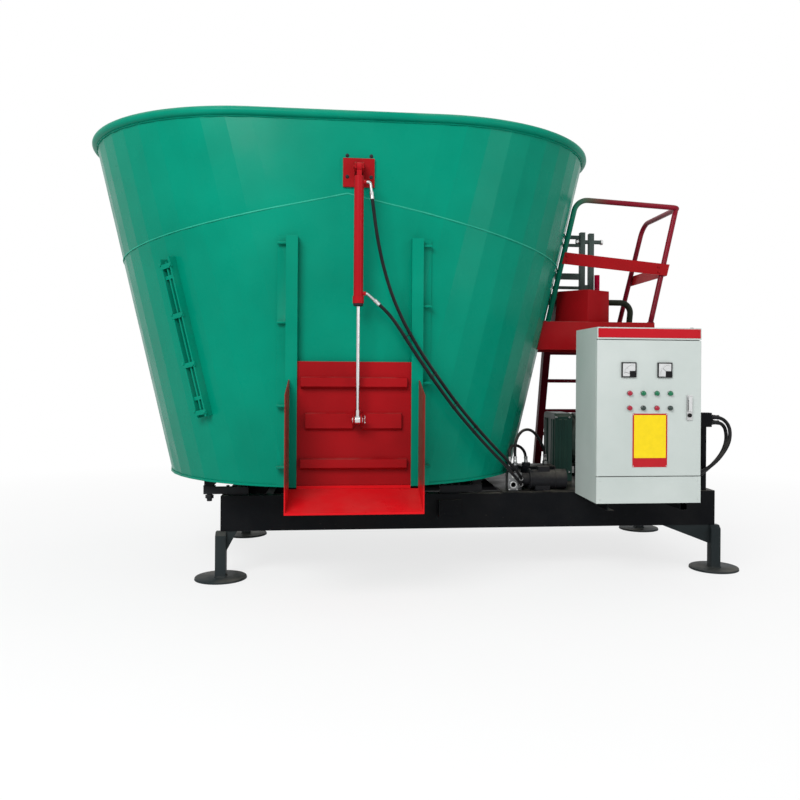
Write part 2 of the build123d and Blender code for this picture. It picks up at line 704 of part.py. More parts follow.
def door():
    """Flat door plate with its stiffeners and the two ears for the rod's pin."""
    panel = block(DOOR_X - DOOR_HALF_WIDTH, DOOR_X + DOOR_HALF_WIDTH, -DOOR_FRONT, -DOOR_BACK,
                  DOOR_BOTTOM, DOOR_BOTTOM + DOOR_HEIGHT)
    ear_outer = EYE_HALF + EAR_GAP + EAR_THICKNESS
    table = [
        (-282, 278, 1120, 1172, 34),
        (-258, CYLINDER_OFFSET - ear_outer, 900, 982, 22),
        (CYLINDER_OFFSET + ear_outer, 250, 900, 982, 22),
        (-282, 278, 692, 742, 34),
    ]
    ribs = []
    for x0, x1, z0, z1, depth in table:
        profile = Polyline((-DOOR_FRONT, z0 - 14), (-DOOR_FRONT - depth, z0), (-DOOR_FRONT - depth, z1 - 6),
                           (-DOOR_FRONT, z1), close=True)
        ribs.append(Pos(DOOR_X + x0, 0, 0) * extrude(Plane.YZ * make_face(profile), x1 - x0))
    ears = pin_x(PIN_RADIUS, CYLINDER_X - ear_outer - 8, CYLINDER_X + ear_outer + 18, CYLINDER_Y, ROD_EYE_Z)
    for ear in ear_pair(-DOOR_FRONT, 45, ROD_EYE_Z):
        ears += ear
    return {"door_panel": panel, "door_stiffeners": ribs, "door_clevis": ears}


def ear_pair(root_y, root_half, pin_z):
    """Two ears that reach out from a plate to the cylinder's pin line, one each side of its eye."""
    outline = Polyline((root_y, pin_z - root_half), (CYLINDER_Y, pin_z - 26), (CYLINDER_Y - 26, pin_z - 12),
                       (CYLINDER_Y - 26, pin_z + 12), (CYLINDER_Y, pin_z + 26), (root_y, pin_z + root_half),
                       close=True)
    ear = extrude(Plane.YZ * make_face(outline), EAR_THICKNESS)
    near = EYE_HALF + EAR_GAP
    return [Pos(CYLINDER_X + near, 0, 0) * ear, Pos(CYLINDER_X - near - EAR_THICKNESS, 0, 0) * ear]


def cylinder():
    """Hydraulic cylinder: bracket on the wall, barrel hung on its pin, rod down to the door."""
    bracket = block(CYLINDER_X - BRACKET_HALF, CYLINDER_X + BRACKET_HALF, -1058, -900,
                    BRACKET_BOTTOM, BRACKET_TOP) - TUB_CLEAR
    for ear in ear_pair(-1050, 55, CYLINDER_PIN_Z):
        bracket += ear
    ear_outer = EYE_HALF + EAR_GAP + EAR_THICKNESS
    bracket += pin_x(PIN_RADIUS, CYLINDER_X - ear_outer - 8, CYLINDER_X + ear_outer + 8, CYLINDER_Y,
                     CYLINDER_PIN_Z)
    top = CYLINDER_PIN_Z - CYLINDER_HEAD_DROP
    rows = [(CYLINDER_BOTTOM, CYLINDER_COLLAR), (CYLINDER_BOTTOM + 38, CYLINDER_COLLAR),
            (CYLINDER_BOTTOM + 38, CYLINDER_RADIUS), (top, CYLINDER_RADIUS)]
    barrel = Pos(CYLINDER_X, CYLINDER_Y, 0) * turned(rows, 24)
    barrel += pin_x(24, CYLINDER_X - EYE_HALF, CYLINDER_X + EYE_HALF, CYLINDER_Y, CYLINDER_PIN_Z)
    barrel += block(CYLINDER_X - EYE_HALF, CYLINDER_X + EYE_HALF, CYLINDER_Y - 14, CYLINDER_Y + 14,
                    top - 5, CYLINDER_PIN_Z)
    reach = CYLINDER_RADIUS + PORT_REACH
    for z in (PORT_LOW_Z, PORT_HIGH_Z):
        barrel += turned_x([(CYLINDER_BORE + 2, PORT_RADIUS), (reach, PORT_RADIUS)], 12,
                           CYLINDER_X, CYLINDER_Y, z)
    barrel -= pin_x(PIN_RADIUS + SEAT_GAP, CYLINDER_X - 50, CYLINDER_X + 50, CYLINDER_Y, CYLINDER_PIN_Z)
    bore = turned([(CYLINDER_BOTTOM + 20, CYLINDER_BORE), (top - 20, CYLINDER_BORE)], 24)
    barrel -= Pos(CYLINDER_X, CYLINDER_Y, 0) * bore
    barrel -= upright(ROD_RADIUS + RUNNING_GAP, CYLINDER_X, CYLINDER_Y, CYLINDER_BOTTOM - 5,
                      CYLINDER_BOTTOM + 30)
    rod_top = CYLINDER_BOTTOM + 70
    rod = upright(ROD_RADIUS, CYLINDER_X, CYLINDER_Y, ROD_EYE_Z + 15, rod_top)
    piston = turned([(rod_top - 24, CYLINDER_BORE - 1), (rod_top, CYLINDER_BORE - 1)], 24)
    rod += Pos(CYLINDER_X, CYLINDER_Y, 0) * piston
    rod += pin_x(ROD_EYE_RADIUS, CYLINDER_X - EYE_HALF, CYLINDER_X + EYE_HALF, CYLINDER_Y, ROD_EYE_Z)
    rod += Pos(CYLINDER_X, CYLINDER_Y, 0) * turned([(ROD_EYE_Z + 18, 14), (ROD_EYE_Z + 52, 14)], 6)
    rod -= pin_x(PIN_RADIUS + SEAT_GAP, CYLINDER_X - 50, CYLINDER_X + 50, CYLINDER_Y, ROD_EYE_Z)
    return {"cylinder_bracket": bracket, "cylinder_barrel": barrel, "cylinder_rod": rod}


def knife_slots():
    """Counter-knife housings along a ruling of the wall: (name, side in x, ruling angle)."""
    table = [
        ("knife_slot_front", -1, 180 + SLOT_TURN),
        ("knife_slot_rear", 1, SLOT_TURN),
    ]
    nodes = {}
    for name, side, angle in table:
        turn = math.radians(angle)
        outward = Vector(math.cos(turn), math.sin(turn), 0)
        ends = [Vector(TUB_X + side * wall_straight(z), 0, z) + outward * wall_radius(z)
                for z in (SLOT_LOW, SLOT_HIGH)]
        ruling = ends[1] - ends[0]
        place = Location(Plane(origin=ends[0], x_dir=outward.cross(ruling).normalized(), z_dir=ruling))
        out = 1 if place.y_axis.direction.dot(outward) > 0 else -1
        length = ruling.length
        body = None
        for side_bar in (-1, 1):
            x = side_bar * SLOT_HALF
            bar = block(x - SLOT_PLATE / 2, x + SLOT_PLATE / 2, -out * SLOT_PLATE, out * SLOT_DEPTH,
                        0, length)
            body = bar if body is None else body + bar
        for share in (0.03, 0.33, 0.64, 0.95):
            z = length * share
            body += block(-SLOT_HALF - 12, SLOT_HALF + 12, out * (SLOT_DEPTH - 6), out * (SLOT_DEPTH + 2),
                          z - 13, z + 13)
        body += block(-SLOT_PLATE / 2, SLOT_PLATE / 2, out * 8, out * 38, 20, length - 20)
        for share in (0.12, 0.88):
            z = length * share
            body += block(-SLOT_HALF, SLOT_HALF, out * 8, out * 38, z - 10, z + 10)
        nodes[name] = place * body - TUB_CLEAR
    return nodes


# The auger

def column_radius(z):
    """Outer radius of the tapered column at a height."""
    share = max(0, (z - COLUMN_FOOT_TOP) / (COLUMN_TOP - COLUMN_FOOT_TOP))
    return COLUMN_LOW_RADIUS + (COLUMN_HIGH_RADIUS - COLUMN_LOW_RADIUS) * share


def flight_radius(share):
    """Outer radius of the flight: nearly full width for the first half turn, then tapering."""
    taper = max(0, (share - FLIGHT_TAPER_START) / (1 - FLIGHT_TAPER_START))
    return FLIGHT_LOW_RADIUS + (FLIGHT_HIGH_RADIUS - FLIGHT_LOW_RADIUS) * taper


def flight_height(share):
    return FLIGHT_LOW + (FLIGHT_TOP - FLIGHT_LOW) * share


def flight_section(share):
    """Corners of the flight's cross-section at a share of its length."""
    turn = math.radians(FLIGHT_START + share * FLIGHT_TURNS * 360)
    z, half = flight_height(share), FLIGHT_THICKNESS / 2
    inner, outer = column_radius(z) - COLUMN_WALL, flight_radius(share)
    return [(radius * math.cos(turn), radius * math.sin(turn), z + rise)
            for radius, rise in ((inner, -half), (outer, -half), (outer, half), (inner, half))]


def auger_screw():
    """Tapered column with a flight of quarter-turn plates, wide at the floor and narrow at the top."""
    cone = turned([(COLUMN_FOOT_TOP, COLUMN_LOW_RADIUS), (COLUMN_TOP, COLUMN_HIGH_RADIUS)], COLUMN_SIDES)
    foot = turned([(COLUMN_FOOT, COLUMN_FOOT_RADIUS), (COLUMN_FOOT_TOP, COLUMN_FOOT_RADIUS)], COLUMN_SIDES)
    hollow = turned([(COLUMN_FOOT_TOP, COLUMN_LOW_RADIUS - COLUMN_WALL),
                     (COLUMN_TOP - COLUMN_WALL, COLUMN_HIGH_RADIUS - COLUMN_WALL)], COLUMN_SIDES)
    pieces = [Pos(TUB_X, 0, 0) * (cone - hollow + foot)]
    plates = round(FLIGHT_TURNS * 4)
    for plate in range(plates):
        start, end = plate / plates, (plate + 1) / plates
        shares = [start + (end - start) * step / PLATE_STEPS for step in range(PLATE_STEPS + 1)]
        piece = Pos(TUB_X, 0, 0) * (skin([flight_section(share) for share in shares]) - cone)
        for share in KNIFE_SHARES:
            if start <= share < end:
                piece += knife_place(share) * block(-62, 30, -42, 42, 0, KNIFE_SEAT)
        pieces.append(piece)
    return pieces


def knife_place(share):
    """Where a knife lies on the flight: X outwards, Y along the edge, Z square to the flight."""
    radius = flight_radius(share)
    pitch = (FLIGHT_TOP - FLIGHT_LOW) / FLIGHT_TURNS
    tilt = math.degrees(math.atan(pitch / (2 * math.pi * radius)))
    angle = FLIGHT_START + share * FLIGHT_TURNS * 360
    return Pos(TUB_X, 0, flight_height(share)) * Rot(0, 0, angle) * Pos(radius, 0, 0) * Rot(tilt, 0, 0)


def auger_knives():
    """Cutting knives on welded seats along the flight's edge."""
    outline = Polyline((-70, -60), (60, -75), (95, 20), (70, 95), (-70, 60), close=True)
    blade = Pos(0, 0, KNIFE_SEAT + SEAT_GAP) * extrude(make_face(outline), KNIFE_THICKNESS)
    return [knife_place(share) * blade for share in KNIFE_SHARES]


# The service platform

def platform_deck():
    """Tray of folded sheet against the tub's end: floor with an apron on its three free sides."""
    bottom = PLATFORM_TOP - APRON_HEIGHT
    left = TUB_X + 900
    tray = block(left, PLATFORM_X, PLATFORM_FRONT, PLATFORM_BACK, bottom, PLATFORM_TOP)
    tray -= block(left - 10, PLATFORM_X - SHEET, PLATFORM_FRONT + SHEET, PLATFORM_BACK - SHEET,
                  bottom - 10, PLATFORM_TOP - SHEET)
    return tray - TUB_CLEAR


def rail_slant(z):
    """X of the slanted outer posts at a height."""
    share = (z - PLATFORM_TOP) / (RAIL_HEIGHT_RIGHT - PLATFORM_TOP)
    return POST_FOOT_X + (RAIL_RIGHT_X - POST_FOOT_X) * share


def wall_leg_x(z):
    """X of the hand rail's leg that runs up beside the wall."""
    return wall_end_x(z, PLATFORM_FRONT + POST_RADIUS) + POST_RADIUS + RAIL_WALL_GAP


def platform_rail():
    """Bent hand rail: up along the tub, across the front, back along the side and down at the rear."""
    front = PLATFORM_FRONT + POST_RADIUS
    back = PLATFORM_BACK - POST_RADIUS
    low = PLATFORM_TOP - 20
    points = [(wall_leg_x(low), front, low), (wall_leg_x(RAIL_HEIGHT_LEFT), front, RAIL_HEIGHT_LEFT),
              (RAIL_RIGHT_X, front, RAIL_HEIGHT_RIGHT), (RAIL_RIGHT_X, back, RAIL_HEIGHT_RIGHT),
              (rail_slant(low), back, low)]
    rail = bent_bar(points, [RAIL_BEND, RAIL_CORNER, RAIL_BEND], POST_RADIUS, POST_SIDES)
    post = Line((rail_slant(low), front, low), (rail_slant(RAIL_HEIGHT_RIGHT), front, RAIL_HEIGHT_RIGHT - 4))
    rail += sweep((post ^ 0) * RegularPolygon(POST_RADIUS, POST_SIDES), path=post)
    return rail - block(0, 3000, -2000, 2000, 0, PLATFORM_TOP + SEAT_GAP)


def kick_plate():
    """Flat guard strip round the railing at knee height, front and outer side."""
    slope = (RAIL_RIGHT_X - POST_FOOT_X) / (RAIL_HEIGHT_RIGHT - PLATFORM_TOP)
    half = KICK_HEIGHT / 2
    lean = slope * half
    front = PLATFORM_FRONT - SEAT_GAP
    left_x = wall_leg_x(KICK_LEFT_Z)
    right_x = rail_slant(KICK_RIGHT_Z) + POST_RADIUS / math.cos(math.atan(slope)) + SEAT_GAP
    outline = Polyline((left_x - lean, KICK_LEFT_Z - half), (right_x + SHEET / 2 - lean, KICK_RIGHT_Z - half),
                       (right_x + SHEET / 2 + lean, KICK_RIGHT_Z + half), (left_x + lean, KICK_LEFT_Z + half),
                       close=True)
    strip = Pos(0, front, 0) * extrude(Plane.XZ * make_face(outline), SHEET)
    outline = Polyline((right_x - lean, KICK_RIGHT_Z - half), (right_x - lean + SHEET, KICK_RIGHT_Z - half),
                       (right_x + lean + SHEET, KICK_RIGHT_Z + half), (right_x + lean, KICK_RIGHT_Z + half),
                       close=True)
    side = extrude(Plane.XZ * make_face(outline), PLATFORM_BACK - front + SHEET)
    return strip + Pos(0, PLATFORM_BACK, 0) * side


def ladder():
    """Ladder from the rear beam up to the platform: two flat stiles with rungs between them."""
    top_y = PLATFORM_BACK + SEAT_GAP
    foot_y = HALF_WIDTH - STILE
    outline = Polyline((foot_y, DECK_TOP), (foot_y + STILE, DECK_TOP), (top_y + 34, LADDER_TOP),
                       (top_y, LADDER_TOP), (top_y, LADDER_TOP - 120), close=True)
    stile = extrude(Plane.YZ * make_face(outline), STILE)
    body = Pos(LADDER_X, 0, 0) * stile + Pos(LADDER_X + LADDER_WIDTH, 0, 0) * stile
    for z in RUNG_HEIGHTS:
        share = (z - DECK_TOP) / (LADDER_TOP - DECK_TOP)
        y = foot_y + STILE / 2 + (top_y - foot_y) * share
        body += block(LADDER_X + STILE / 2, LADDER_X + LADDER_WIDTH + STILE / 2,
                      y - RUNG_HALF_DEPTH, y + RUNG_HALF_DEPTH, z - RUNG_HALF_HEIGHT, z + RUNG_HALF_HEIGHT)
    return body


def platform_box():
    """Sheet housing at the foot of the mast, with a slanting left face and a bevelled right one."""
    sections = []
    for z, left in ((PLATFORM_TOP + SEAT_GAP, BOX_LEFT), (BOX_TOP, BOX_LEFT + 16)):
        sections.append([(left, -150, z), (BOX_EDGE_X, BOX_FRONT, z), (BOX_RIGHT, BOX_FRONT + 105, z),
                         (BOX_RIGHT, BOX_BACK, z), (left, BOX_BACK, z)])
    return skin(sections)


def mast():
    """Two flat bars side by side with a cross pin, tied to the tub by stays: (height, depth)."""
    stays = [(2127, 24), (2072, 20), (1859, 42), (1782, 20)]
    inner = MAST_HALF - MAST_BAR
    body = block(MAST_X - MAST_HALF, MAST_X - inner, MAST_Y - 20, MAST_Y + 20, BOX_TOP, MAST_TOP)
    body += block(MAST_X + inner, MAST_X + MAST_HALF, MAST_Y - 20, MAST_Y + 20, BOX_TOP, MAST_TOP - 6)
    body += block(MAST_X - 40, MAST_X + 40, MAST_Y - 14, MAST_Y + 14, BOX_TOP, BOX_TOP + 60)
    body += turned_x([(-60, 14), (98, 14)], 16, MAST_X, MAST_Y, MAST_PIN_Z)
    for z, height in stays:
        start = wall_end_x(z, MAST_Y) - 30
        body += block(start, MAST_X - inner - 6, MAST_Y - 10, MAST_Y + 10, z - height / 2, z + height / 2)
    return body - TUB_CLEAR


def mast_post():
    """Short round post beside the mast, on a foot plate welded to the box."""
    x = MAST_X + 66
    post = Pos(x, MAST_Y - 30, 0) * turned([(BOX_TOP + 8, 18), (BOX_TOP + 126, 18)], 16)
    return post + block(x - 30, x + 28, MAST_Y - 58, MAST_Y - 20 - SEAT_GAP, BOX_TOP, BOX_TOP + 8)


def bent_pipe():
    """Grey pipe from the tub's end over the platform, bent down onto its floor."""
    start = wall_end_x(PIPE_Z, PIPE_Y) - 40
    points = [(start, PIPE_Y, PIPE_Z), (PIPE_END_X + 18, PIPE_Y, PIPE_Z),
              (PIPE_END_X, PIPE_Y, PLATFORM_TOP - 20)]
    pipe = bent_bar(points, [70], PIPE_RADIUS, 12) - TUB_CLEAR
    rail_end = block(PIPE_END_X - 60, PIPE_END_X + 60, PIPE_Y - 60, PIPE_Y + 60, 0, PLATFORM_TOP + SEAT_GAP)
    return pipe - rail_end


# The switch cabinet

def cabinet():
    """Sheet cabinet with a fixed header and plinth, and a hinged door between them."""
    x0, x1 = CABINET_X, CABINET_X + CABINET_WIDTH
    y0, y1 = CABINET_FRONT, CABINET_FRONT + CABINET_DEPTH
    z0, z1 = CABINET_BOTTOM, CABINET_BOTTOM + CABINET_HEIGHT
    door_low, door_high = z0 + PLINTH_HEIGHT, z1 - HEADER_HEIGHT
    door_back = y0 + CABINET_DOOR_DEPTH
    wall = CABINET_WALL
    body = block(x0, x1, y0, y1, z0, z1)
    body -= block(x0 - 1, x1 + 1, y0 - 1, door_back + CABINET_GAP, door_low, door_high)
    for low, high, front in ((z0, door_low, y0 + wall), (door_high, z1, y0 + wall),
                             (door_low, door_high, y0 - 1)):
        body -= block(x0 + wall, x1 - wall, front, y1 - wall, low + wall, high - wall)
    door = block(x0, x1, y0, door_back, door_low + CABINET_GAP, door_high - CABINET_GAP)
    door = chamfer(door.edges().filter_by(Axis.Z).group_by(Axis.Y)[0], 3)
    door -= block(x0 + DOOR_RIM, x1 - DOOR_RIM, y0 + 4, door_back + 1,
                  door_low + CABINET_GAP + DOOR_RIM, door_high - CABINET_GAP - DOOR_RIM)
    hinge_x, hinge_y = x0 + HINGE_INSET_X, y0 + HINGE_INSET_Y
    for low, high in ((door_low - wall, door_low + 18), (door_high - 18, door_high + wall)):
        body += upright(HINGE_PIN, hinge_x, hinge_y, low, high)
        door -= upright(HINGE_PIN + SEAT_GAP, hinge_x, hinge_y, low - 10, high + 10)
    for y, z in GLANDS:
        body += turned_x([(-wall, GLAND_RADIUS), (23, GLAND_RADIUS)], 12, x1, y, z)
    plate = block(x0 + 60, x1 - 60, y1 - 32, y1 - wall - SEAT_GAP, door_low + 60, door_high - 60)
    for z in (760, 950, 1140):
        plate += block(x0 + 90, x1 - 90, y1 - 130, y1 - 32, z, z + 110)
    arms = []
    for x in (x0 + 70, x1 - 110):
        arm = block(x, x + 40, y0 + 20, -HALF_WIDTH - SEAT_GAP, z0 - 44, z0)
        arm -= block(x + 4, x + 41, y0 + 10, -HALF_WIDTH + 1, z0 - 40, z0 - 4)
        arms.append(arm)
    return {"cabinet_body": body, "cabinet_switchgear": plate, "cabinet_door": door,
            "cabinet_instruments": cabinet_instruments(), "cabinet_arms": arms}


def cabinet_instruments():
    """On the door's face: two square meters, two rows of four lamps and a lever lock."""
    front = CABINET_FRONT - SEAT_GAP
    half = METER_SIZE / 2
    pieces = [block(x - half, x + half, front - 8, front, METER_Z - half, METER_Z + half) for x in METER_X]
    for z in LAMP_Z:
        for index in range(4):
            lamp = turned([(0, LAMP_RADIUS), (14, LAMP_RADIUS), (18, LAMP_RADIUS - 4)], 12)
            pieces.append(Pos(LAMP_X + index * LAMP_STEP, front, z) * Rot(90, 0, 0) * lamp)
    lock = block(LOCK_X - 16, LOCK_X + 16, front - 7, front, LOCK_Z - 70, LOCK_Z + 70)
    lock += block(LOCK_X - 9, LOCK_X + 9, front - 24, front - 6, LOCK_Z - 55, LOCK_Z + 40)
    pieces.append(lock)
    return pieces


def cable_post():
    """Square post on the deck behind the cabinet that carries the cables' gland box."""
    x, y, size = CABLE_POST_X, CABLE_POST_Y, CABLE_POST_SIZE
    post = block(x, x + size, y, y + size, DECK_TOP, CABLE_POST_TOP)
    post += block(x - 15, CABLE_BOX_RIGHT, y - 13, y + size + 13, 872, CABLE_POST_TOP + 20)
    for z in (932, 900):
        post += turned_x([(0, GLAND_RADIUS), (18, GLAND_RADIUS)], 12, CABLE_BOX_RIGHT, y + 12, z)
    return post


# Hoses and cables: (name, diameter, corners of the route)

HOSE = 18
CABLE = 22
CORD_SIDES = 6
ARC_SHARE = 0.45

CORDS = [
    ("hose_lift", HOSE, [(-655, -1160, 2140), (-640, -1160, 2020), (-618, -1150, 1880),
                         (-586, -1144, 1740), (-542, -1142, 1600), (-482, -1142, 1465),
                         (-404, -1136, 1330), (-304, -1100, 1190), (-188, -1046, 1040),
                         (-66, -966, 905), (58, -862, 782), (160, -766, 690),
                         (232, -692, 618), (270, -638, 574), (284, -602, 556), (284, -563, 556)]),
    ("hose_return", HOSE, [(-636, -1160, 1574), (-588, -1160, 1532), (-540, -1162, 1480),
                           (-494, -1160, 1414), (-424, -1156, 1306), (-324, -1122, 1168),
                           (-208, -1066, 1018), (-84, -986, 882), (40, -882, 758),
                           (144, -786, 664), (214, -708, 590), (262, -648, 544),
                           (284, -610, 520), (284, -563, 520)]),
    ("hose_tank_high", HOSE, [(262, -520, 648), (260, -516, 712), (268, -500, 775), (296, -474, 822),
                              (340, -440, 846), (392, -404, 838), (438, -372, 796),
                              (474, -346, 742), (498, -326, 692), (500, -320, 642)]),
    ("hose_tank_low", HOSE, [(222, -545, 648), (220, -541, 692), (228, -518, 730), (254, -474, 748),
                             (298, -432, 744), (338, -404, 718), (358, -391, 678), (360, -390, 634)]),
    ("cable_supply", CABLE, [(1494, -600, 932), (1526, -600, 932), (1566, -606, 914), (1590, -618, 876),
                             (1592, -630, 826), (1576, -642, 770), (1536, -652, 712),
                             (1484, -666, 662), (1420, -682, 622), (1350, -696, 592),
                             (1284, -700, 580), (1226, -700, 580)]),
    ("cable_motor", CABLE, [(1494, -600, 900), (1534, -600, 900), (1570, -596, 874), (1584, -591, 832),
                            (1582, -596, 785), (1562, -607, 738), (1530, -618, 692),
                            (1484, -628, 646), (1428, -640, 604), (1364, -651, 562),
                            (1292, -660, 530), (1226, -660, 530)]),
]


def hose_fittings():
    """Steel elbows from the cylinder's ports to its hoses, and the unions on the valve block."""
    fittings = []
    for cord, port_z in zip(CORDS, (PORT_HIGH_Z, PORT_LOW_Z)):
        points = cord[2]
        first, second, last = Vector(*points[0]), Vector(*points[1]), Vector(*points[-1])
        run = second - first
        corner = first + run * ((port_z - first.Z) / run.Z)
        port = Vector(CYLINDER_X + CYLINDER_RADIUS + PORT_REACH + SEAT_GAP, CYLINDER_Y, port_z)
        fittings.append(bent_bar([port, corner, first], [12], 8, 8))
        length = MANIFOLD_FRONT - SEAT_GAP - last.Y
        union = turned([(0, 12), (length, 12)], 6)
        fittings.append(Pos(last.X, last.Y, last.Z) * Rot(-90, 0, 0) * union)
    return fittings


def cords():
    nodes = {}
    for name, diameter, points in CORDS:
        nodes[name] = cord(points, diameter / 2)
    return nodes


def build():
    nodes = {}
    nodes.update(frame_beams())
    nodes["frame_cross_members"] = frame_cross_members()
    nodes["deck_plate"] = deck_plate()
    nodes.update(legs())
    nodes["load_cells"] = load_cells()
    nodes["tub_subframe"] = tub_subframe()
    nodes["planetary_gearbox"] = planetary_gearbox()
    nodes["shaft_guard"] = shaft_guard()
    nodes["belt_guard"] = belt_guard()
    nodes["main_motor"] = main_motor()
    nodes.update(power_pack())
    nodes.update(tub())
    nodes.update(door_rails())
    nodes["door_sill"] = door_sill()
    nodes["chute"] = chute()
    nodes.update(door())
    nodes.update(cylinder())
    nodes.update(knife_slots())
    nodes["auger_screw"] = auger_screw()
    nodes["auger_knives"] = auger_knives()
    nodes["platform_deck"] = platform_deck()
    nodes["platform_rail"] = platform_rail()
    nodes["kick_plate"] = kick_plate()
    nodes["ladder"] = ladder()
    nodes["platform_box"] = platform_box()
    nodes["mast"] = mast()
    nodes["mast_post"] = mast_post()
    nodes["bent_pipe"] = bent_pipe()
    nodes.update(cabinet())
    nodes["cable_post"] = cable_post()
    nodes["hose_fittings"] = hose_fittings()
    nodes.update(cords())
    return nodes


def as_compound(piece):
    solids = []
    for item in piece if isinstance(piece, list) else [piece]:
        solids.extend(item.solids())
    return Compound(children=solids)


NODES = {name: as_compound(piece) for name, piece in build().items()}
BOX = Compound(children=[node.moved(Location()) for node in NODES.values()]).bounding_box()
SHIFT = Vector(-(BOX.min.X + BOX.max.X) / 2, -(BOX.min.Y + BOX.max.Y) / 2, -BOX.min.Z)
os.makedirs("parts", exist_ok=True)
for name, node in NODES.items():
    export_step(Pos(SHIFT) * node, f"parts/{name}.step")
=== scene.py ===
import bmesh
import bpy
import math
import numpy as np
from mathutils import Matrix, Vector


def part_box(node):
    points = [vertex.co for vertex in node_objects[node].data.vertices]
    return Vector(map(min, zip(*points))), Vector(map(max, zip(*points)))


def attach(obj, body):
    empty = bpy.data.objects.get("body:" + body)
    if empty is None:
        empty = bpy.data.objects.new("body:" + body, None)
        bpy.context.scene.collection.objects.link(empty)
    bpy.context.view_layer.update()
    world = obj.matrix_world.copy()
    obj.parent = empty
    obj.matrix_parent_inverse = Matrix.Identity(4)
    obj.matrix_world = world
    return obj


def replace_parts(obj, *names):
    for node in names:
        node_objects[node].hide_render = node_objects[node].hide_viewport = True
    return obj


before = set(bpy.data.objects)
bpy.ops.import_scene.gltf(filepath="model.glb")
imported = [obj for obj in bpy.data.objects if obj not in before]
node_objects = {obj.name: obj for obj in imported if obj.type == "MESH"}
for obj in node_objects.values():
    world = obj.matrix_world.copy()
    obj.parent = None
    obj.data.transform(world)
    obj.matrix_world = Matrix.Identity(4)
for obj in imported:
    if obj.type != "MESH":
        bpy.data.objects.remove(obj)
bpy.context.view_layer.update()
scene = bpy.context.scene
scene.view_settings.view_transform = "Standard"


# The camera stands five metres off on the discharge side, at chest height, and looks a little
# to the right of square, so that the tub's left end and the cabinet's left face both show.
CAMERA_AT = (-0.4445, -5.215, 1.2)
CAMERA_TURN = 0.107
CAMERA_ROLL = 0.007
camera_data = bpy.data.cameras.new("camera")
camera_data.sensor_width = 36.0
camera_data.lens = 36.13
camera_data.shift_x = -0.034
camera_data.shift_y = -0.035
camera_data.dof.use_dof = False
camera = bpy.data.objects.new("camera", camera_data)
camera.matrix_world = (Matrix.Translation(CAMERA_AT) @ Matrix.Rotation(-CAMERA_TURN, 4, "Z")
                       @ Matrix.Rotation(math.pi / 2, 4, "X") @ Matrix.Rotation(CAMERA_ROLL, 4, "Z"))
scene.collection.objects.link(camera)
scene.camera = camera


# Two hydraulic hoses run from the door cylinder's ports to the valve block, two shorter ones
# from the block to the oil tank, and two black cables from the gland box to the cabinet. All are
# smooth black rubber, a little dusty, and hang free between their ends.
feet_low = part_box("leg_front_left")[0]
feet_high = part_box("leg_rear_right")[1]
DRAWN_FROM = np.array([(feet_low[0] + feet_high[0]) / 2, (feet_low[1] + feet_high[1]) / 2, 0.0])
HOSE = 0.018
CABLE = 0.022
cord_routes = {
    "hose_lift": (HOSE, 2.084, [
        (-0.655, -1.160, 2.140), (-0.640, -1.160, 2.020), (-0.618, -1.150, 1.880),
        (-0.586, -1.144, 1.740), (-0.542, -1.142, 1.600), (-0.482, -1.142, 1.465),
        (-0.404, -1.136, 1.330), (-0.304, -1.100, 1.190), (-0.188, -1.046, 1.040),
        (-0.066, -0.966, 0.905), (0.058, -0.862, 0.782), (0.160, -0.766, 0.690),
        (0.232, -0.692, 0.618), (0.270, -0.638, 0.574), (0.284, -0.602, 0.556),
        (0.284, -0.563, 0.556)]),
    "hose_return": (HOSE, 1.601, [
        (-0.636, -1.160, 1.574), (-0.588, -1.160, 1.532), (-0.540, -1.162, 1.480),
        (-0.494, -1.160, 1.414), (-0.424, -1.156, 1.306), (-0.324, -1.122, 1.168),
        (-0.208, -1.066, 1.018), (-0.084, -0.986, 0.882), (0.040, -0.882, 0.758),
        (0.144, -0.786, 0.664), (0.214, -0.708, 0.590), (0.262, -0.648, 0.544),
        (0.284, -0.610, 0.520), (0.284, -0.563, 0.520)]),
    "hose_tank_high": (HOSE, 0.558, [
        (0.262, -0.520, 0.648), (0.260, -0.516, 0.712), (0.268, -0.500, 0.775), (0.296, -0.474, 0.822),
        (0.340, -0.440, 0.846), (0.392, -0.404, 0.838), (0.438, -0.372, 0.796),
        (0.474, -0.346, 0.742), (0.498, -0.326, 0.692), (0.500, -0.320, 0.642)]),
    "hose_tank_low": (HOSE, 0.344, [
        (0.222, -0.545, 0.648), (0.220, -0.541, 0.692), (0.228, -0.518, 0.730), (0.254, -0.474, 0.748),
        (0.298, -0.432, 0.744), (0.338, -0.404, 0.718), (0.358, -0.391, 0.678), (0.360, -0.390, 0.634)]),
    "cable_supply": (CABLE, 0.654, [
        (1.494, -0.600, 0.932), (1.526, -0.600, 0.932), (1.566, -0.606, 0.914), (1.590, -0.618, 0.876),
        (1.592, -0.630, 0.826), (1.576, -0.642, 0.770), (1.536, -0.652, 0.712), (1.484, -0.666, 0.662),
        (1.420, -0.682, 0.622), (1.350, -0.696, 0.592), (1.284, -0.700, 0.580), (1.226, -0.700, 0.580)]),
    "cable_motor": (CABLE, 0.640, [
        (1.494, -0.600, 0.900), (1.534, -0.600, 0.900), (1.570, -0.596, 0.874), (1.584, -0.591, 0.832),
        (1.582, -0.596, 0.785), (1.562, -0.607, 0.738), (1.530, -0.618, 0.692), (1.484, -0.628, 0.646),
        (1.428, -0.640, 0.604), (1.364, -0.651, 0.562), (1.292, -0.660, 0.530), (1.226, -0.660, 0.530)]),
}


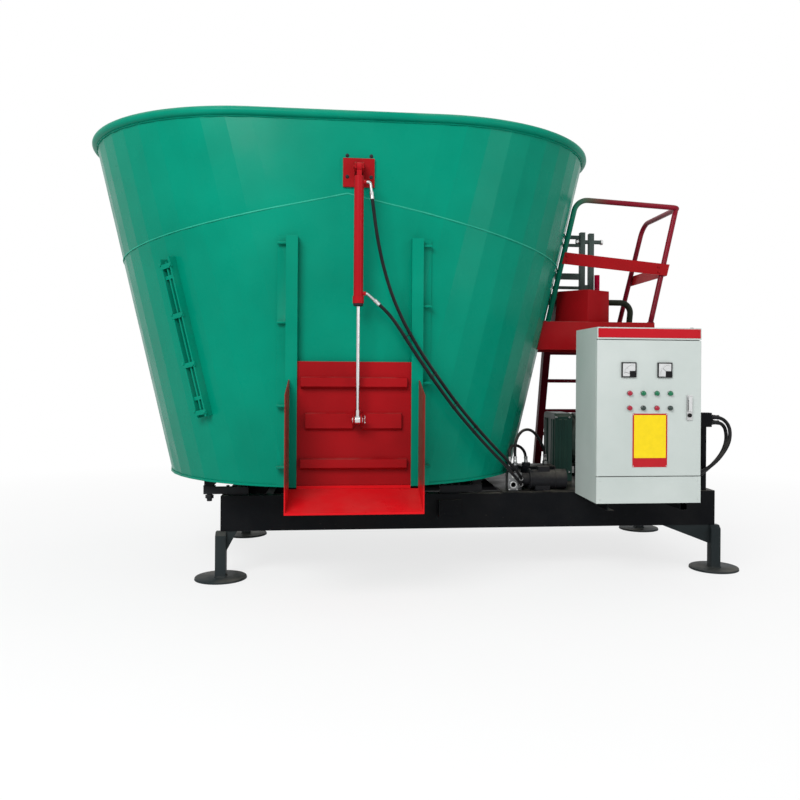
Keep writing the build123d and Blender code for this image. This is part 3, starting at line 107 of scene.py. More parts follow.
def shader_group(name, inputs, outputs):
    """An empty shader node group: inputs are {name: default} and outputs are names. A socket
    whose name ends in Color holds a colour, and any other a number."""
    group = bpy.data.node_groups.new(name, "ShaderNodeTree")
    for label in [*inputs, *outputs]:
        kind = "NodeSocketColor" if label.endswith("Color") else "NodeSocketFloat"
        if label in inputs:
            group.interface.new_socket(label, in_out="INPUT", socket_type=kind).default_value = inputs[label]
        if label in outputs:
            group.interface.new_socket(label, in_out="OUTPUT", socket_type=kind)
    return group, group.nodes.new("NodeGroupInput"), group.nodes.new("NodeGroupOutput")


def object_place(tree):
    """Object coordinates of whatever wears the material."""
    return tree.nodes.new("ShaderNodeTexCoord").outputs["Object"]


def split_vector(tree, vector):
    """The X, Y and Z outputs of a vector."""
    split = tree.nodes.new("ShaderNodeSeparateXYZ")
    tree.links.new(vector, split.inputs[0])
    return split.outputs


def noise_node(tree, coordinates, scale, detail=3.0, roughness=0.55, stretch=None):
    """A noise texture on these coordinates, stretched first where stretch is three factors."""
    noise = tree.nodes.new("ShaderNodeTexNoise")
    noise.inputs["Scale"].default_value = scale
    noise.inputs["Detail"].default_value = detail
    noise.inputs["Roughness"].default_value = roughness
    if stretch:
        mapping = tree.nodes.new("ShaderNodeMapping")
        mapping.inputs["Scale"].default_value = stretch
        tree.links.new(coordinates, mapping.inputs["Vector"])
        coordinates = mapping.outputs["Vector"]
    tree.links.new(coordinates, noise.inputs["Vector"])
    return noise.outputs["Fac"]


def remap_node(tree, value, low, high, to_low, to_high):
    """Value carried from low..high to to_low..to_high and held at the ends."""
    remap = tree.nodes.new("ShaderNodeMapRange")
    for label, number in (("From Min", low), ("From Max", high), ("To Min", to_low), ("To Max", to_high)):
        remap.inputs[label].default_value = number
    tree.links.new(value, remap.inputs["Value"])
    return remap.outputs["Result"]


def math_node(tree, operation, first, second=0.0):
    """One math node on two values, each a socket or a number."""
    node = tree.nodes.new("ShaderNodeMath")
    node.operation = operation
    for index, value in enumerate((first, second)):
        if isinstance(value, (int, float)):
            node.inputs[index].default_value = value
        else:
            tree.links.new(value, node.inputs[index])
    return node.outputs[0]


def mix_node(tree, factor, first, second, blend="MIX"):
    """Two colours mixed by a factor; each is a socket or four numbers."""
    node = tree.nodes.new("ShaderNodeMix")
    node.data_type = "RGBA"
    node.blend_type = blend
    for socket, value in ((node.inputs[0], factor), (node.inputs[6], first), (node.inputs[7], second)):
        if isinstance(value, (int, float, tuple)):
            socket.default_value = value
        else:
            tree.links.new(value, socket)
    return node.outputs[2]


def dust_group():
    """Dust settled where a noise is high: mixes it over a colour and dulls the gloss there."""
    group, start, end = shader_group(
        "settled_dust", {"Color": (0.5, 0.5, 0.5, 1), "Roughness": 0.4,
                         "Dust Color": (0.32, 0.29, 0.24, 1), "Amount": 0.3, "Scale": 6.0},
        ["Color", "Roughness"])
    cloud = noise_node(group, object_place(group), 1.0, 5.0, 0.62)
    group.links.new(start.outputs["Scale"], cloud.node.inputs["Scale"])
    facing = split_vector(group, group.nodes.new("ShaderNodeNewGeometry").outputs["Normal"])
    upward = remap_node(group, facing["Z"], 0.1, 0.95, 0.03, 1.0)
    settled = math_node(group, "MULTIPLY", remap_node(group, cloud, 0.42, 0.72, 0.0, 1.0), upward)
    amount = math_node(group, "MULTIPLY", settled, start.outputs["Amount"])
    group.links.new(mix_node(group, amount, start.outputs["Color"], start.outputs["Dust Color"]),
                    end.inputs["Color"])
    duller = math_node(group, "MULTIPLY", amount, 0.5)
    group.links.new(math_node(group, "ADD", start.outputs["Roughness"], duller), end.inputs["Roughness"])
    return group


settled_dust = dust_group()


def new_material(name, roughness=0.5, metallic=0.0, coat=0.0, coat_roughness=0.1, shine=0.5):
    """A Principled material with its fixed values set; returns it, its tree and its shader."""
    material = bpy.data.materials.new(name)
    material.use_nodes = True
    shader = material.node_tree.nodes["Principled BSDF"]
    shader.inputs["Roughness"].default_value = roughness
    shader.inputs["Metallic"].default_value = metallic
    shader.inputs["Coat Weight"].default_value = coat
    shader.inputs["Coat Roughness"].default_value = coat_roughness
    shader.inputs["Specular IOR Level"].default_value = shine
    return material, material.node_tree, shader


def place_group(tree, group, **values):
    """The group as a node in a tree, with its inputs set or linked."""
    node = tree.nodes.new("ShaderNodeGroup")
    node.node_tree = group
    for label, value in values.items():
        socket = node.inputs[label.replace("_", " ")]
        if hasattr(value, "is_output"):
            tree.links.new(value, socket)
        else:
            socket.default_value = value
    return node


def bump(tree, shader, height, strength, distance):
    """A height that feeds the shader's normal, distance in metres."""
    node = tree.nodes.new("ShaderNodeBump")
    node.inputs["Strength"].default_value = strength
    node.inputs["Distance"].default_value = distance
    tree.links.new(height, node.inputs["Height"])
    tree.links.new(node.outputs["Normal"], shader.inputs["Normal"])


def dusted(tree, shader, color, roughness, amount, scale):
    """The shader's colour and roughness, each a value or a socket, under the shared dust."""
    dusty = place_group(tree, settled_dust, Color=color, Roughness=roughness, Amount=amount, Scale=scale)
    tree.links.new(dusty.outputs["Color"], shader.inputs["Base Color"])
    tree.links.new(dusty.outputs["Roughness"], shader.inputs["Roughness"])


def rubber():
    material, tree, shader = new_material("hose_rubber", 0.42, shine=0.08)
    place = object_place(tree)
    tone = mix_node(tree, noise_node(tree, place, 14.0), (0.006, 0.006, 0.007, 1), (0.015, 0.015, 0.016, 1))
    dusted(tree, shader, tone, 0.4, 0.35, 9.0)
    bump(tree, shader, noise_node(tree, place, 240.0, 2.0), 0.25, 0.0006)
    return material


hose_rubber = rubber()


def along_route(name, diameter, points, material):
    """A round cord on a smooth spline whose control points are the route's corners. The bevel is
    one metre deep and each point's radius scales it, because the curve's box grows by the radius."""
    curve = bpy.data.curves.new(name, "CURVE")
    curve.dimensions = "3D"
    curve.bevel_depth = 1.0
    curve.bevel_resolution = 5
    curve.resolution_u = 10
    curve.use_fill_caps = True
    spline = curve.splines.new("NURBS")
    spline.points.add(len(points) - 1)
    corners = np.array(points) + DRAWN_FROM
    spline.points.foreach_set("co", np.hstack([corners, np.ones((len(points), 1))]).ravel())
    spline.points.foreach_set("radius", np.full(len(points), diameter / 2))
    spline.order_u = 3
    spline.use_endpoint_u = True
    cord = bpy.data.objects.new(name, curve)
    scene.collection.objects.link(cord)
    curve.materials.append(material)
    return cord


def spline_points(cord):
    """Points along a cord's own smooth line, read from its curve with no bevel."""
    depth, cord.data.bevel_depth = cord.data.bevel_depth, 0.0
    mesh = bpy.data.meshes.new_from_object(cord)
    cord.data.bevel_depth = depth
    points = np.empty(len(mesh.vertices) * 3)
    mesh.vertices.foreach_get("co", points)
    bpy.data.meshes.remove(mesh)
    return points.reshape(-1, 3)


cord_lines = {}
for name, (diameter, length, points) in cord_routes.items():
    cord = along_route(name + "_rubber", diameter, points, hose_rubber)
    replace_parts(cord, name)
    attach(cord, "machine")
    line = spline_points(cord)
    cord_lines[name] = line


# The tub is 10 mm plate, folded in flats into two half cones with flat wedges between them, on
# a round-ended floor plate with a tube rim. It is sprayed a bluish green gloss in one coat.
tub_low, tub_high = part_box("rim_tube")
TUB_AT = np.array([(tub_low[0] + tub_high[0]) / 2, (tub_low[1] + tub_high[1]) / 2])
TUB_GREEN = (0.0, 0.222, 0.141, 1)
TUB_GREEN_DEEP = (0.0, 0.190, 0.120, 1)
PRIMER = (0.06, 0.05, 0.045, 1)
PAINT_SHINE = 0.035


def paint_group():
    """Sprayed enamel: slow drift between two tones, orange peel and small chips to primer."""
    group, start, end = shader_group(
        "sprayed_enamel", {"Color": (0.5, 0.5, 0.5, 1), "Second Color": (0.4, 0.4, 0.4, 1),
                           "Chip Color": PRIMER, "Roughness": 0.3, "Chips": 0.2, "Peel": 0.5},
        ["Color", "Roughness", "Height"])
    place = object_place(group)
    drift = remap_node(group, noise_node(group, place, 2.2, 3.0), 0.35, 0.68, 0.0, 1.0)
    tone = mix_node(group, drift, start.outputs["Color"], start.outputs["Second Color"])
    runs = noise_node(group, place, 7.0, 4.0, 0.6, stretch=(1.0, 1.0, 0.16))
    tone = mix_node(group, remap_node(group, runs, 0.55, 0.8, 0.0, 0.35), tone, start.outputs["Second Color"])
    fleck = noise_node(group, place, 46.0, 6.0, 0.7)
    region = remap_node(group, noise_node(group, place, 3.1, 2.0), 0.48, 0.7, 0.0, 1.0)
    chips = math_node(group, "MULTIPLY", remap_node(group, fleck, 0.665, 0.685, 0.0, 1.0), region)
    chips = math_node(group, "MULTIPLY", chips, start.outputs["Chips"])
    group.links.new(mix_node(group, chips, tone, start.outputs["Chip Color"]), end.inputs["Color"])
    smear = remap_node(group, noise_node(group, place, 5.0, 4.0), 0.3, 0.75, -0.05, 0.12)
    rough = math_node(group, "ADD", start.outputs["Roughness"], smear)
    group.links.new(math_node(group, "ADD", rough, math_node(group, "MULTIPLY", chips, 0.3)),
                    end.inputs["Roughness"])
    peel = math_node(group, "MULTIPLY", noise_node(group, place, 130.0, 2.0), start.outputs["Peel"])
    group.links.new(math_node(group, "SUBTRACT", peel, math_node(group, "MULTIPLY", chips, 0.6)),
                    end.inputs["Height"])
    return group


sprayed_enamel = paint_group()


def spray(tree, shader, color, second, roughness, chips, peel, dust, dust_scale=4.0, chip_color=PRIMER):
    """The shared enamel under dust, linked to the shader; returns the paint's own height."""
    paint = place_group(tree, sprayed_enamel, Color=color, Second_Color=second, Chip_Color=chip_color,
                        Roughness=roughness, Chips=chips, Peel=peel)
    dusted(tree, shader, paint.outputs["Color"], paint.outputs["Roughness"], dust, dust_scale)
    return paint.outputs["Height"]


def enamel(name, color, second, roughness=0.3, chips=0.25, dust=0.25, coat=0.03, chip_color=PRIMER):
    """Painted steel from the shared enamel and dust groups."""
    material, tree, shader = new_material(name, roughness, coat=coat, coat_roughness=0.12, shine=PAINT_SHINE)
    height = spray(tree, shader, color, second, roughness, chips, 0.5, dust, chip_color=chip_color)
    bump(tree, shader, height, 0.6, 0.0006)
    return material


def named(*starts):
    """The CAD nodes whose names begin in one of these ways."""
    return [name for name in node_objects if name.startswith(starts)]


def wear_node(names, material, edge=0.0, round_below=0.0):
    """Gives CAD nodes a material in place of their plain one, edges broken by edge metres, and
    smooth shading over angles under round_below degrees."""
    for name in names:
        node = node_objects[name]
        node.data.materials.clear()
        node.data.materials.append(material)
        weld = node.modifiers.new("weld", "WELD")
        weld.merge_threshold = 0.00005
        flats = node.modifiers.new("flats", "DECIMATE")
        flats.decimate_type = "DISSOLVE"
        flats.angle_limit = math.radians(0.5)
        if edge:
            bevel = node.modifiers.new("edges", "BEVEL")
            bevel.width = edge
            bevel.segments = 2
            bevel.limit_method = "ANGLE"
            bevel.angle_limit = math.radians(50)
        if round_below:
            node.data.polygons.foreach_set("use_smooth", np.ones(len(node.data.polygons), bool))
            smooth = node.modifiers.new("normals", "EDGE_SPLIT")
            smooth.use_edge_angle = True
            smooth.use_edge_sharp = False
            smooth.split_angle = math.radians(round_below)


tub_paint = enamel("tub_green", TUB_GREEN, TUB_GREEN_DEEP, roughness=0.25, chips=0.12, dust=0.10, coat=0.04)
fitting_paint = enamel("fitting_green", TUB_GREEN, TUB_GREEN_DEEP, roughness=0.3, chips=0.35, dust=0.2)
rim_paint = enamel("rim_green", TUB_GREEN, TUB_GREEN_DEEP, roughness=0.32, chips=0.7, dust=0.25,
                   chip_color=(0.16, 0.07, 0.035, 1))
wear_node(named("wall_"), tub_paint)
wear_node(["tub_floor"], fitting_paint)
wear_node(named("door_rail", "knife_slot"), fitting_paint, edge=0.0012)

# The tub's plates meet in one arched weld that climbs over the front and the back, and in
# fillet welds under the rim and along the floor. Each is a rippled bead; the fillets are under the same
# paint, and the arched one is a paler green that paints a highlight along it.
WALL_FOOT, WALL_HEAD = 0.579, 2.552
RADIUS_FOOT, RADIUS_HEAD = 1.064, 1.040
STRAIGHT_FOOT, STRAIGHT_HEAD = 0.030, 0.517
SEAM_AT_ENDS, SEAM_AT_MIDDLE = 1.862, 2.155
LAP_AT_MIDDLE = 0.455
CORNER_LAPS = (0, 0.41, 0.5, 0.91, 1)
RIPPLE = 0.007


def wall_at(z):
    """Radius of the tub's round ends at a height, and half the flat run between their centres."""
    share = (z - WALL_FOOT) / (WALL_HEAD - WALL_FOOT)
    return (RADIUS_FOOT + (RADIUS_HEAD - RADIUS_FOOT) * share,
            STRAIGHT_FOOT + (STRAIGHT_HEAD - STRAIGHT_FOOT) * share)


def on_wall(lap, z, out=0.0):
    """Point of the wall's outer face: lap 0..1 goes round the right end, the back, the left end
    and the front; between the ends the centre moves along the flat wedge."""
    radius, straight = wall_at(z)
    angle = np.radians(np.interp(lap, CORNER_LAPS, (-90, 90, 90, 270, 270)))
    centre = np.interp(lap, CORNER_LAPS, (1, 1, -1, -1, 1)) * straight
    outward = np.stack([np.cos(angle), np.sin(angle), 0 * angle], axis=-1)
    middle = np.stack([TUB_AT[0] + centre, TUB_AT[1] + 0 * lap, z], axis=-1)
    return middle + outward * (radius + out)[:, None], outward


def tube_faces(rows, columns, closed=False):
    """Faces of a grid of points that closes round its columns. The rows close too, or end in caps."""
    index = np.arange(rows * columns).reshape(rows, columns)
    index = np.hstack([index, index[:, :1]])
    if closed:
        index = np.vstack([index, index[:1]])
    quads = np.stack([index[:-1, :-1], index[:-1, 1:], index[1:, 1:], index[1:, :-1]], axis=-1)
    caps = [] if closed else [index[0, :-1][::-1].tolist(), index[-1, :-1].tolist()]
    return quads.reshape(-1, 4).tolist() + caps


def add_piece(name, mesh, material, body):
    """The mesh as a named object in one material, which rides with a body."""
    mesh.materials.append(material)
    piece = bpy.data.objects.new(name, mesh)
    scene.collection.objects.link(piece)
    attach(piece, body)
    return piece


def grid_object(name, grid, material, closed=False, body="machine", smooth=True):
    """A tube from a grid of points (along, around, 3), closed along its length or capped."""
    faces = tube_faces(*grid.shape[:2], closed)
    mesh = bpy.data.meshes.new(name)
    mesh.from_pydata(grid.reshape(-1, 3).tolist(), [], faces)
    mesh.polygons.foreach_set("use_smooth", np.full(len(faces), smooth))
    return add_piece(name, mesh, material, body)


def bead_grid(path, outward, width, height):
    """A weld bead: a half-round profile carried along a path on a surface, swelling in ripples."""
    outward = np.broadcast_to(outward, path.shape)
    tangent = np.gradient(path, axis=0)
    tangent /= np.linalg.norm(tangent, axis=1, keepdims=True)
    across = np.cross(outward, tangent)
    across /= np.linalg.norm(across, axis=1, keepdims=True)
    run = np.concatenate([[0], np.cumsum(np.linalg.norm(np.diff(path, axis=0), axis=1))])
    swell = 1 + 0.16 * np.sin(run * 2 * np.pi / RIPPLE) + 0.1 * np.sin(run * 37.0)
    turn = np.linspace(0, 2 * np.pi, 8, endpoint=False)
    side = np.cos(turn)[None, :, None] * across[:, None, :] * (width / 2)
    rise = np.sin(turn)[None, :, None] * outward[:, None, :] * height
    return path[:, None, :] + (side + rise) * swell[:, None, None]


def straight_path(start, stop, step=0.004):
    """Points along a straight line, close enough together for a bead's ripples."""
    start, stop = np.array(start, float), np.array(stop, float)
    count = max(3, int(np.linalg.norm(stop - start) / step))
    return start + (stop - start) * np.linspace(0, 1, count)[:, None]


def seam_height(lap):
    """The arched seam: lowest at the tub's two ends, with its crown over the front and back."""
    past = (lap - LAP_AT_MIDDLE) % 0.5
    near_crown = 1 - np.minimum(past, 0.5 - past) / 0.25
    return SEAM_AT_ENDS + (SEAM_AT_MIDDLE - SEAM_AT_ENDS) * near_crown ** 1.8


lap = np.linspace(0, 1, 3200, endpoint=False)
path, outward = on_wall(lap, seam_height(lap), 0.0005)
# The arched seam's paler, brighter green is a painted highlight along the bead.
seam_highlight_paint = enamel("seam_bead_highlight", (0.030, 0.360, 0.245, 1), (0.015, 0.300, 0.200, 1), dust=0.1)
grid_object("seam_arch", bead_grid(path, outward, 0.008, 0.0030), seam_highlight_paint, closed=True)
lap = np.linspace(0, 1, 2400, endpoint=False)
path, outward = on_wall(lap, np.full(lap.shape, WALL_HEAD - 0.002), 0.001)
grid_object("seam_rim", bead_grid(path, outward, 0.011, 0.005), fitting_paint, closed=True)


# The rim is one round tube bent to the tub's mouth and welded on the wall's edge, a little proud
# of it. Feed and the loader's bucket have rubbed its paint down to rusty steel in places.
RIM_RADIUS = 0.024
RIM_OUT = 0.006
lap = np.linspace(0, 1, 720, endpoint=False)
path, outward = on_wall(lap, np.full(lap.shape, WALL_HEAD), RIM_OUT)
path[:, 2] += RIM_RADIUS
turn = np.linspace(0, 2 * np.pi, 28, endpoint=False)[None, :, None]
rim_grid = path[:, None, :] + RIM_RADIUS * (np.cos(turn) * outward[:, None, :] + np.sin(turn) * [0, 0, 1])
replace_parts(grid_object("rim_round", rim_grid, rim_paint, closed=True), "rim_tube")


# The discharge side: guide rails welded to the tub, with a fillet weld above and below each of
# the gussets that stiffen them.
GUSSETS = {"door_rail_left": (-1, (0.690, 1.015, 1.457, 1.878)),
           "door_rail_right": (1, (0.690, 1.141, 1.553, 1.878))}
GUSSET_HALF = 0.004
GUSSET_INNER, GUSSET_OUTER = 0.048, 0.003
bead_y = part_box("door_rail_left")[0][1] + 0.026
for name, (side, heights) in GUSSETS.items():
    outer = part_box(name)[1 if side > 0 else 0][0]
    bead_heights = [height + edge for height in heights for edge in (-GUSSET_HALF, GUSSET_HALF)]
    for index, z in enumerate(bead_heights):
        path = straight_path((outer - side * GUSSET_INNER, bead_y, z),
                             (outer - side * GUSSET_OUTER, bead_y, z))
        grid_object(f"{name}_bead_{index}", bead_grid(path, (0.0, -1.0, 0.0), 0.006, 0.003), fitting_paint)


# Bolt heads, nuts and washers are repeated all over the machine. Each is turned from one round
# profile whose head part is pressed to six sides, in zinc plate or painted over.
def zinc():
    material, tree, shader = new_material("zinc_plate", 0.36, metallic=1.0)
    bloom = noise_node(tree, object_place(tree), 60.0, 4.0)
    dusted(tree, shader, mix_node(tree, bloom, (0.40, 0.41, 0.42, 1), (0.56, 0.56, 0.55, 1)), 0.34, 0.3, 12.0)
    bump(tree, shader, bloom, 0.2, 0.0003)
    return material


zinc_plate = zinc()
UP, TO_FRONT = (0, 0, 1), (0, -1, 0)


def square_to(direction):
    """Two unit vectors square to each of these directions."""
    direction = np.asarray(direction, float)
    direction = direction / np.linalg.norm(direction, axis=-1, keepdims=True)
    helper = np.where(np.abs(direction[..., 2:3]) < 0.9, [0.0, 0.0, 1.0], [1.0, 0.0, 0.0])
    first = np.cross(helper, direction)
    first /= np.linalg.norm(first, axis=-1, keepdims=True)
    return first, np.cross(direction, first)


def turned_object(name, places, directions, profile, material, body="machine", hexagon=(), sides=24):
    """Copies of one turned form, each in its direction or all in one: profile rows are (height along
    the direction, radius), and the rows named in hexagon are pressed to six sides."""
    places = np.atleast_2d(places)
    directions = np.broadcast_to(np.array(directions, float), places.shape)
    directions = directions / np.linalg.norm(directions, axis=1, keepdims=True)
    first, second = square_to(directions)
    profile = np.array(profile, float)
    turn = np.linspace(0, 2 * np.pi, sides, endpoint=False)
    radius = np.tile(profile[:, 1:2], (1, sides))
    for row in hexagon:
        radius[row] /= np.cos((turn + np.pi / 6) % (np.pi / 3) - np.pi / 6)
    ring = (first[:, None, None, :] * np.cos(turn)[None, None, :, None]
            + second[:, None, None, :] * np.sin(turn)[None, None, :, None])
    points = (places[:, None, None, :] + directions[:, None, None, :] * profile[None, :, None, 0:1]
              + ring * radius[None, :, :, None])
    one = tube_faces(len(profile), sides)
    starts = range(0, len(places) * radius.size, radius.size)
    faces = [[corner + start for corner in face] for start in starts for face in one]
    mesh = bpy.data.meshes.new(name)
    mesh.from_pydata(points.reshape(-1, 3).tolist(), [], faces)
    mesh.polygons.foreach_set("use_smooth", np.ones(len(faces), bool))
    mesh.set_sharp_from_angle(angle=math.radians(35))
    return add_piece(name, mesh, material, body)


def hex_bolts(name, places, direction, across, material=zinc_plate, washer=True):
    """Bolt heads, with washers or bare: across is the width over flats, and each top is chamfered."""
    half, head = across / 2, across * 0.42
    base = across * 0.12 if washer else 0.0
    ring = [(-0.001, half * 1.25), (base, half * 1.25)] if washer else []
    profile = ring + [(base if washer else -0.001, half), (base + head * 0.86, half),
                      (base + head, half * 0.86), (base + head, half * 0.2)]
    turned_object(name, places, direction, profile, material, hexagon=(len(ring), len(ring) + 1))


# The discharge door is a flat plate with three pressed stiffeners, painted a darker red than the
# chute and rubbed by the feed. It slides up in its rails, pulled by the cylinder's rod.
DOOR_RED = (0.31, 0.006, 0.009, 1)
DOOR_RED_DEEP = (0.235, 0.005, 0.007, 1)
CHUTE_RED = (0.62, 0.009, 0.013, 1)
CHUTE_RED_DEEP = (0.52, 0.007, 0.011, 1)
# The cheeks' dark brown red is painted shade: the cheeks carry the tray's red paint but stand in shadow.
CHEEK_SHADED_RED = (0.19, 0.022, 0.018, 1)
CHEEK_SHADED_RED_DEEP = (0.15, 0.020, 0.016, 1)
CHEEK_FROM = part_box("door_sill")[1][2] + 0.02
door_paint = enamel("door_red", DOOR_RED, DOOR_RED_DEEP, roughness=0.36, chips=0.6, dust=0.12)


def chute_paint():
    """Bright red on the tray, which turns to a dark brown red on the cheeks above it: painted shade, since
    the cheeks stand in shadow.
    """
    material, tree, shader = new_material("chute_red", 0.30, shine=PAINT_SHINE)
    height = split_vector(tree, object_place(tree))["Z"]
    # Above the sill the tone darkens into the cheeks' painted shade.
    cheek_shade = remap_node(tree, height, CHEEK_FROM - 0.02, CHEEK_FROM + 0.03, 0.0, 1.0)
    relief = spray(tree, shader, mix_node(tree, cheek_shade, CHUTE_RED, CHEEK_SHADED_RED),
                   mix_node(tree, cheek_shade, CHUTE_RED_DEEP, CHEEK_SHADED_RED_DEEP), 0.30, 0.5, 0.5, 0.06)
    bump(tree, shader, relief, 0.6, 0.0006)
    return material


wear_node(["door_panel", "door_stiffeners"], door_paint, edge=0.0015)
wear_node(["door_clevis"], door_paint, round_below=31)
wear_node(["chute", "door_sill"], chute_paint(), edge=0.0012)
rod_low, rod_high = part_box("cylinder_rod")
pin_at = np.array([(rod_low[0] + rod_high[0]) / 2, (rod_low[1] + rod_high[1]) / 2, rod_low[2] + 0.023])
turn = np.linspace(0, 1, 60)
coil = turn * 2 * np.pi * 1.25
clip = np.stack([pin_at[0] + 0.038 + 0.0 * turn, pin_at[1] - 0.014 * np.sin(coil),
                 pin_at[2] + 0.012 - 0.030 * turn + 0.014 * np.cos(coil)], axis=-1)


def wire_grid(path, radius, sides=10):
    """Round wire along a path, its ring square to the path at each point."""
    first, second = square_to(np.gradient(path, axis=0))
    turn = np.linspace(0, 2 * np.pi, sides, endpoint=False)
    ring = first[:, None, :] * np.cos(turn)[None, :, None] + second[:, None, :] * np.sin(turn)[None, :, None]
    return path[:, None, :] + ring * radius


grid_object("door_pin_clip", wire_grid(clip, 0.0018), zinc_plate, body="door")
turned_object("door_pin_washers", [pin_at + (-0.024, 0, 0), pin_at + (0.024, 0, 0)],
              [(-1, 0, 0), (1, 0, 0)], [(0.0, 0.017), (0.003, 0.017), (0.003, 0.011)], zinc_plate, "door")


# The cylinder hangs from a bracket plate bolted to the wall and painted with the door. The barrel
# is a little brighter, the rod hard chrome, and the gland at the barrel's foot blackened steel.
def hard_chrome():
    material, tree, shader = new_material("hard_chrome", 0.16, metallic=1.0)
    scratches = noise_node(tree, object_place(tree), 90.0, 4.0, 0.7, stretch=(1.0, 1.0, 0.05))
    tone = mix_node(tree, scratches, (0.50, 0.50, 0.50, 1), (0.72, 0.72, 0.72, 1))
    tree.links.new(tone, shader.inputs["Base Color"])
    tree.links.new(remap_node(tree, scratches, 0.3, 0.7, 0.12, 0.34), shader.inputs["Roughness"])
    bump(tree, shader, scratches, 0.15, 0.0002)
    return material


chrome_rod = hard_chrome()
blackened = enamel("black_steel", (0.022, 0.023, 0.026, 1), (0.014, 0.014, 0.016, 1), roughness=0.42,
                   chips=0.4, dust=0.4, chip_color=(0.14, 0.12, 0.10, 1))
barrel_paint = enamel("barrel_red", (0.36, 0.008, 0.013, 1), (0.29, 0.006, 0.010, 1), roughness=0.28,
                      chips=0.3, dust=0.15)
wear_node(["cylinder_rod"], chrome_rod, round_below=31)
wear_node(["cylinder_barrel"], barrel_paint, round_below=31)
wear_node(["cylinder_bracket"], door_paint, round_below=31)
gland_at = (pin_at[0], pin_at[1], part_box("cylinder_barrel")[0][2] + 0.001)
turned_object("cylinder_gland", gland_at, (0, 0, -1),
              [(-0.002, 0.026), (0.012, 0.026), (0.015, 0.023), (0.017, 0.016), (0.017, 0.0115)], blackened)
bracket_low, bracket_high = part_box("cylinder_bracket")
bracket_bolts = [(bracket_low[0] + x, bracket_low[1], z) for x in (0.022, 0.146)
                 for z in (bracket_low[2] + 0.022, bracket_high[2] - 0.022)]
hex_bolts("bracket_bolts", bracket_bolts, TO_FRONT, 0.016, blackened)


# Hoses end in crimped steel ferrules and cables in black ones. Black ties hold the long pair
# together where they run side by side, and each union on the valve block has a lock nut.
ferrule = [(-0.002, 0.0088), (0.0, 0.0118), (0.010, 0.0118), (0.013, 0.0108), (0.024, 0.0108),
           (0.027, 0.0118), (0.036, 0.0118), (0.038, 0.0092)]
for name, (diameter, length, points) in cord_routes.items():
    line = cord_lines[name]
    rows = [(along, radius * diameter / HOSE) for along, radius in ferrule]
    turned_object(name + "_ferrules", [line[0], line[-1]], [line[3] - line[0], line[-4] - line[-1]],
                  rows, zinc_plate if diameter == HOSE else blackened)
wear_node(["hose_fittings"], zinc_plate, round_below=46)
TIE_HEIGHTS = (1.400, 1.190, 1.030, 0.905)
TIE_HALF, TIE_THICKNESS = 0.0022, 0.0013
lift_line, back_line = cord_lines["hose_lift"], cord_lines["hose_return"]
turn = np.linspace(0, 2 * np.pi, 48, endpoint=False)
for index, height in enumerate(TIE_HEIGHTS):
    lift = lift_line[np.argmin(np.abs(lift_line[:, 2] - height))]
    near = np.argmin(np.linalg.norm(back_line - lift, axis=1))
    back = back_line[near]
    run = back_line[near + 1] - back
    run /= np.linalg.norm(run)
    side = (lift - back) - run * np.dot(lift - back, run)
    gap = np.linalg.norm(side)
    side /= gap
    centre = np.where((np.cos(turn) > 0)[:, None], back + side * gap, back)
    outward = np.cos(turn)[:, None] * side + np.sin(turn)[:, None] * np.cross(run, side)
    loop = centre + (HOSE / 2 + 0.0008) * outward
    band = np.stack([loop + run * along + outward * out for along, out in (
        (-TIE_HALF, 0.0), (TIE_HALF, 0.0), (TIE_HALF, TIE_THICKNESS), (-TIE_HALF, TIE_THICKNESS))], axis=1)
    grid_object(f"hose_tie_{index}", band, hose_rubber, closed=True, smooth=False)


# The chute is bolted through its cheeks to the door rails, two bolts a side. The rails' caps and
# the sill are welded, so they carry no bolts.
chute_low, chute_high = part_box("chute")
for name, x, direction in (("chute_bolts_left", chute_low[0], -1), ("chute_bolts_right", chute_high[0], 1)):
    hex_bolts(name, [(x, chute_high[1] - 0.028, z) for z in (0.760, 1.060)], (direction, 0, 0), 0.019)


# The frame is two folded channels with cross members and a deck, welded and painted near-black,
# on slightly paler legs with round foot plates. Grazing light shows dust, scuffs and the welds.
SOIL_CHIP = (0.10, 0.085, 0.07, 1)
frame_paint = enamel("frame_black", (0.0052, 0.0060, 0.0075, 1), (0.0035, 0.0040, 0.0052, 1),
                     roughness=0.36, chips=0.8, dust=0.45, chip_color=SOIL_CHIP)
leg_paint = enamel("leg_black", (0.024, 0.031, 0.033, 1), (0.016, 0.021, 0.023, 1), roughness=0.40,
                   chips=0.6, dust=0.35, chip_color=SOIL_CHIP)
wear_node(named("frame_", "tub_subframe", "deck_plate", "cabinet_arms", "cable_post"), frame_paint,
          edge=0.002)
wear_node(["shaft_guard"], frame_paint, round_below=31)
LEGS = ("leg_front_left", "leg_front_right", "leg_rear_left", "leg_rear_right")
LEG_X, LEG_HALF, FOOT_TOP = 1.490, 0.030, 0.012
wear_node(LEGS, leg_paint, edge=0.0015, round_below=31)
for leg, name in enumerate(LEGS):
    low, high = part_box(name)
    side = np.sign((low[0] + high[0]) / 2 - DRAWN_FROM[0])
    middle = np.array([DRAWN_FROM[0] + side * LEG_X, (low[1] + high[1]) / 2, FOOT_TOP])
    for quarter in range(4):
        angle = quarter * np.pi / 2
        out = np.array([np.cos(angle), np.sin(angle), 0.0])
        across = np.array([-np.sin(angle), np.cos(angle), 0.0])
        path = straight_path(middle + (out - across) * LEG_HALF, middle + (out + across) * LEG_HALF)
        leaning = (out + (0, 0, 0.8)) / np.linalg.norm(out + (0, 0, 0.8))
        grid_object(f"foot_weld_{leg * 4 + quarter}", bead_grid(path, leaning, 0.012, 0.005), leg_paint)


def spot(x, y, z):
    """A point given in the drawing's own metres, whose zero lies between the four feet."""
    return np.array([x, y, z]) + DRAWN_FROM


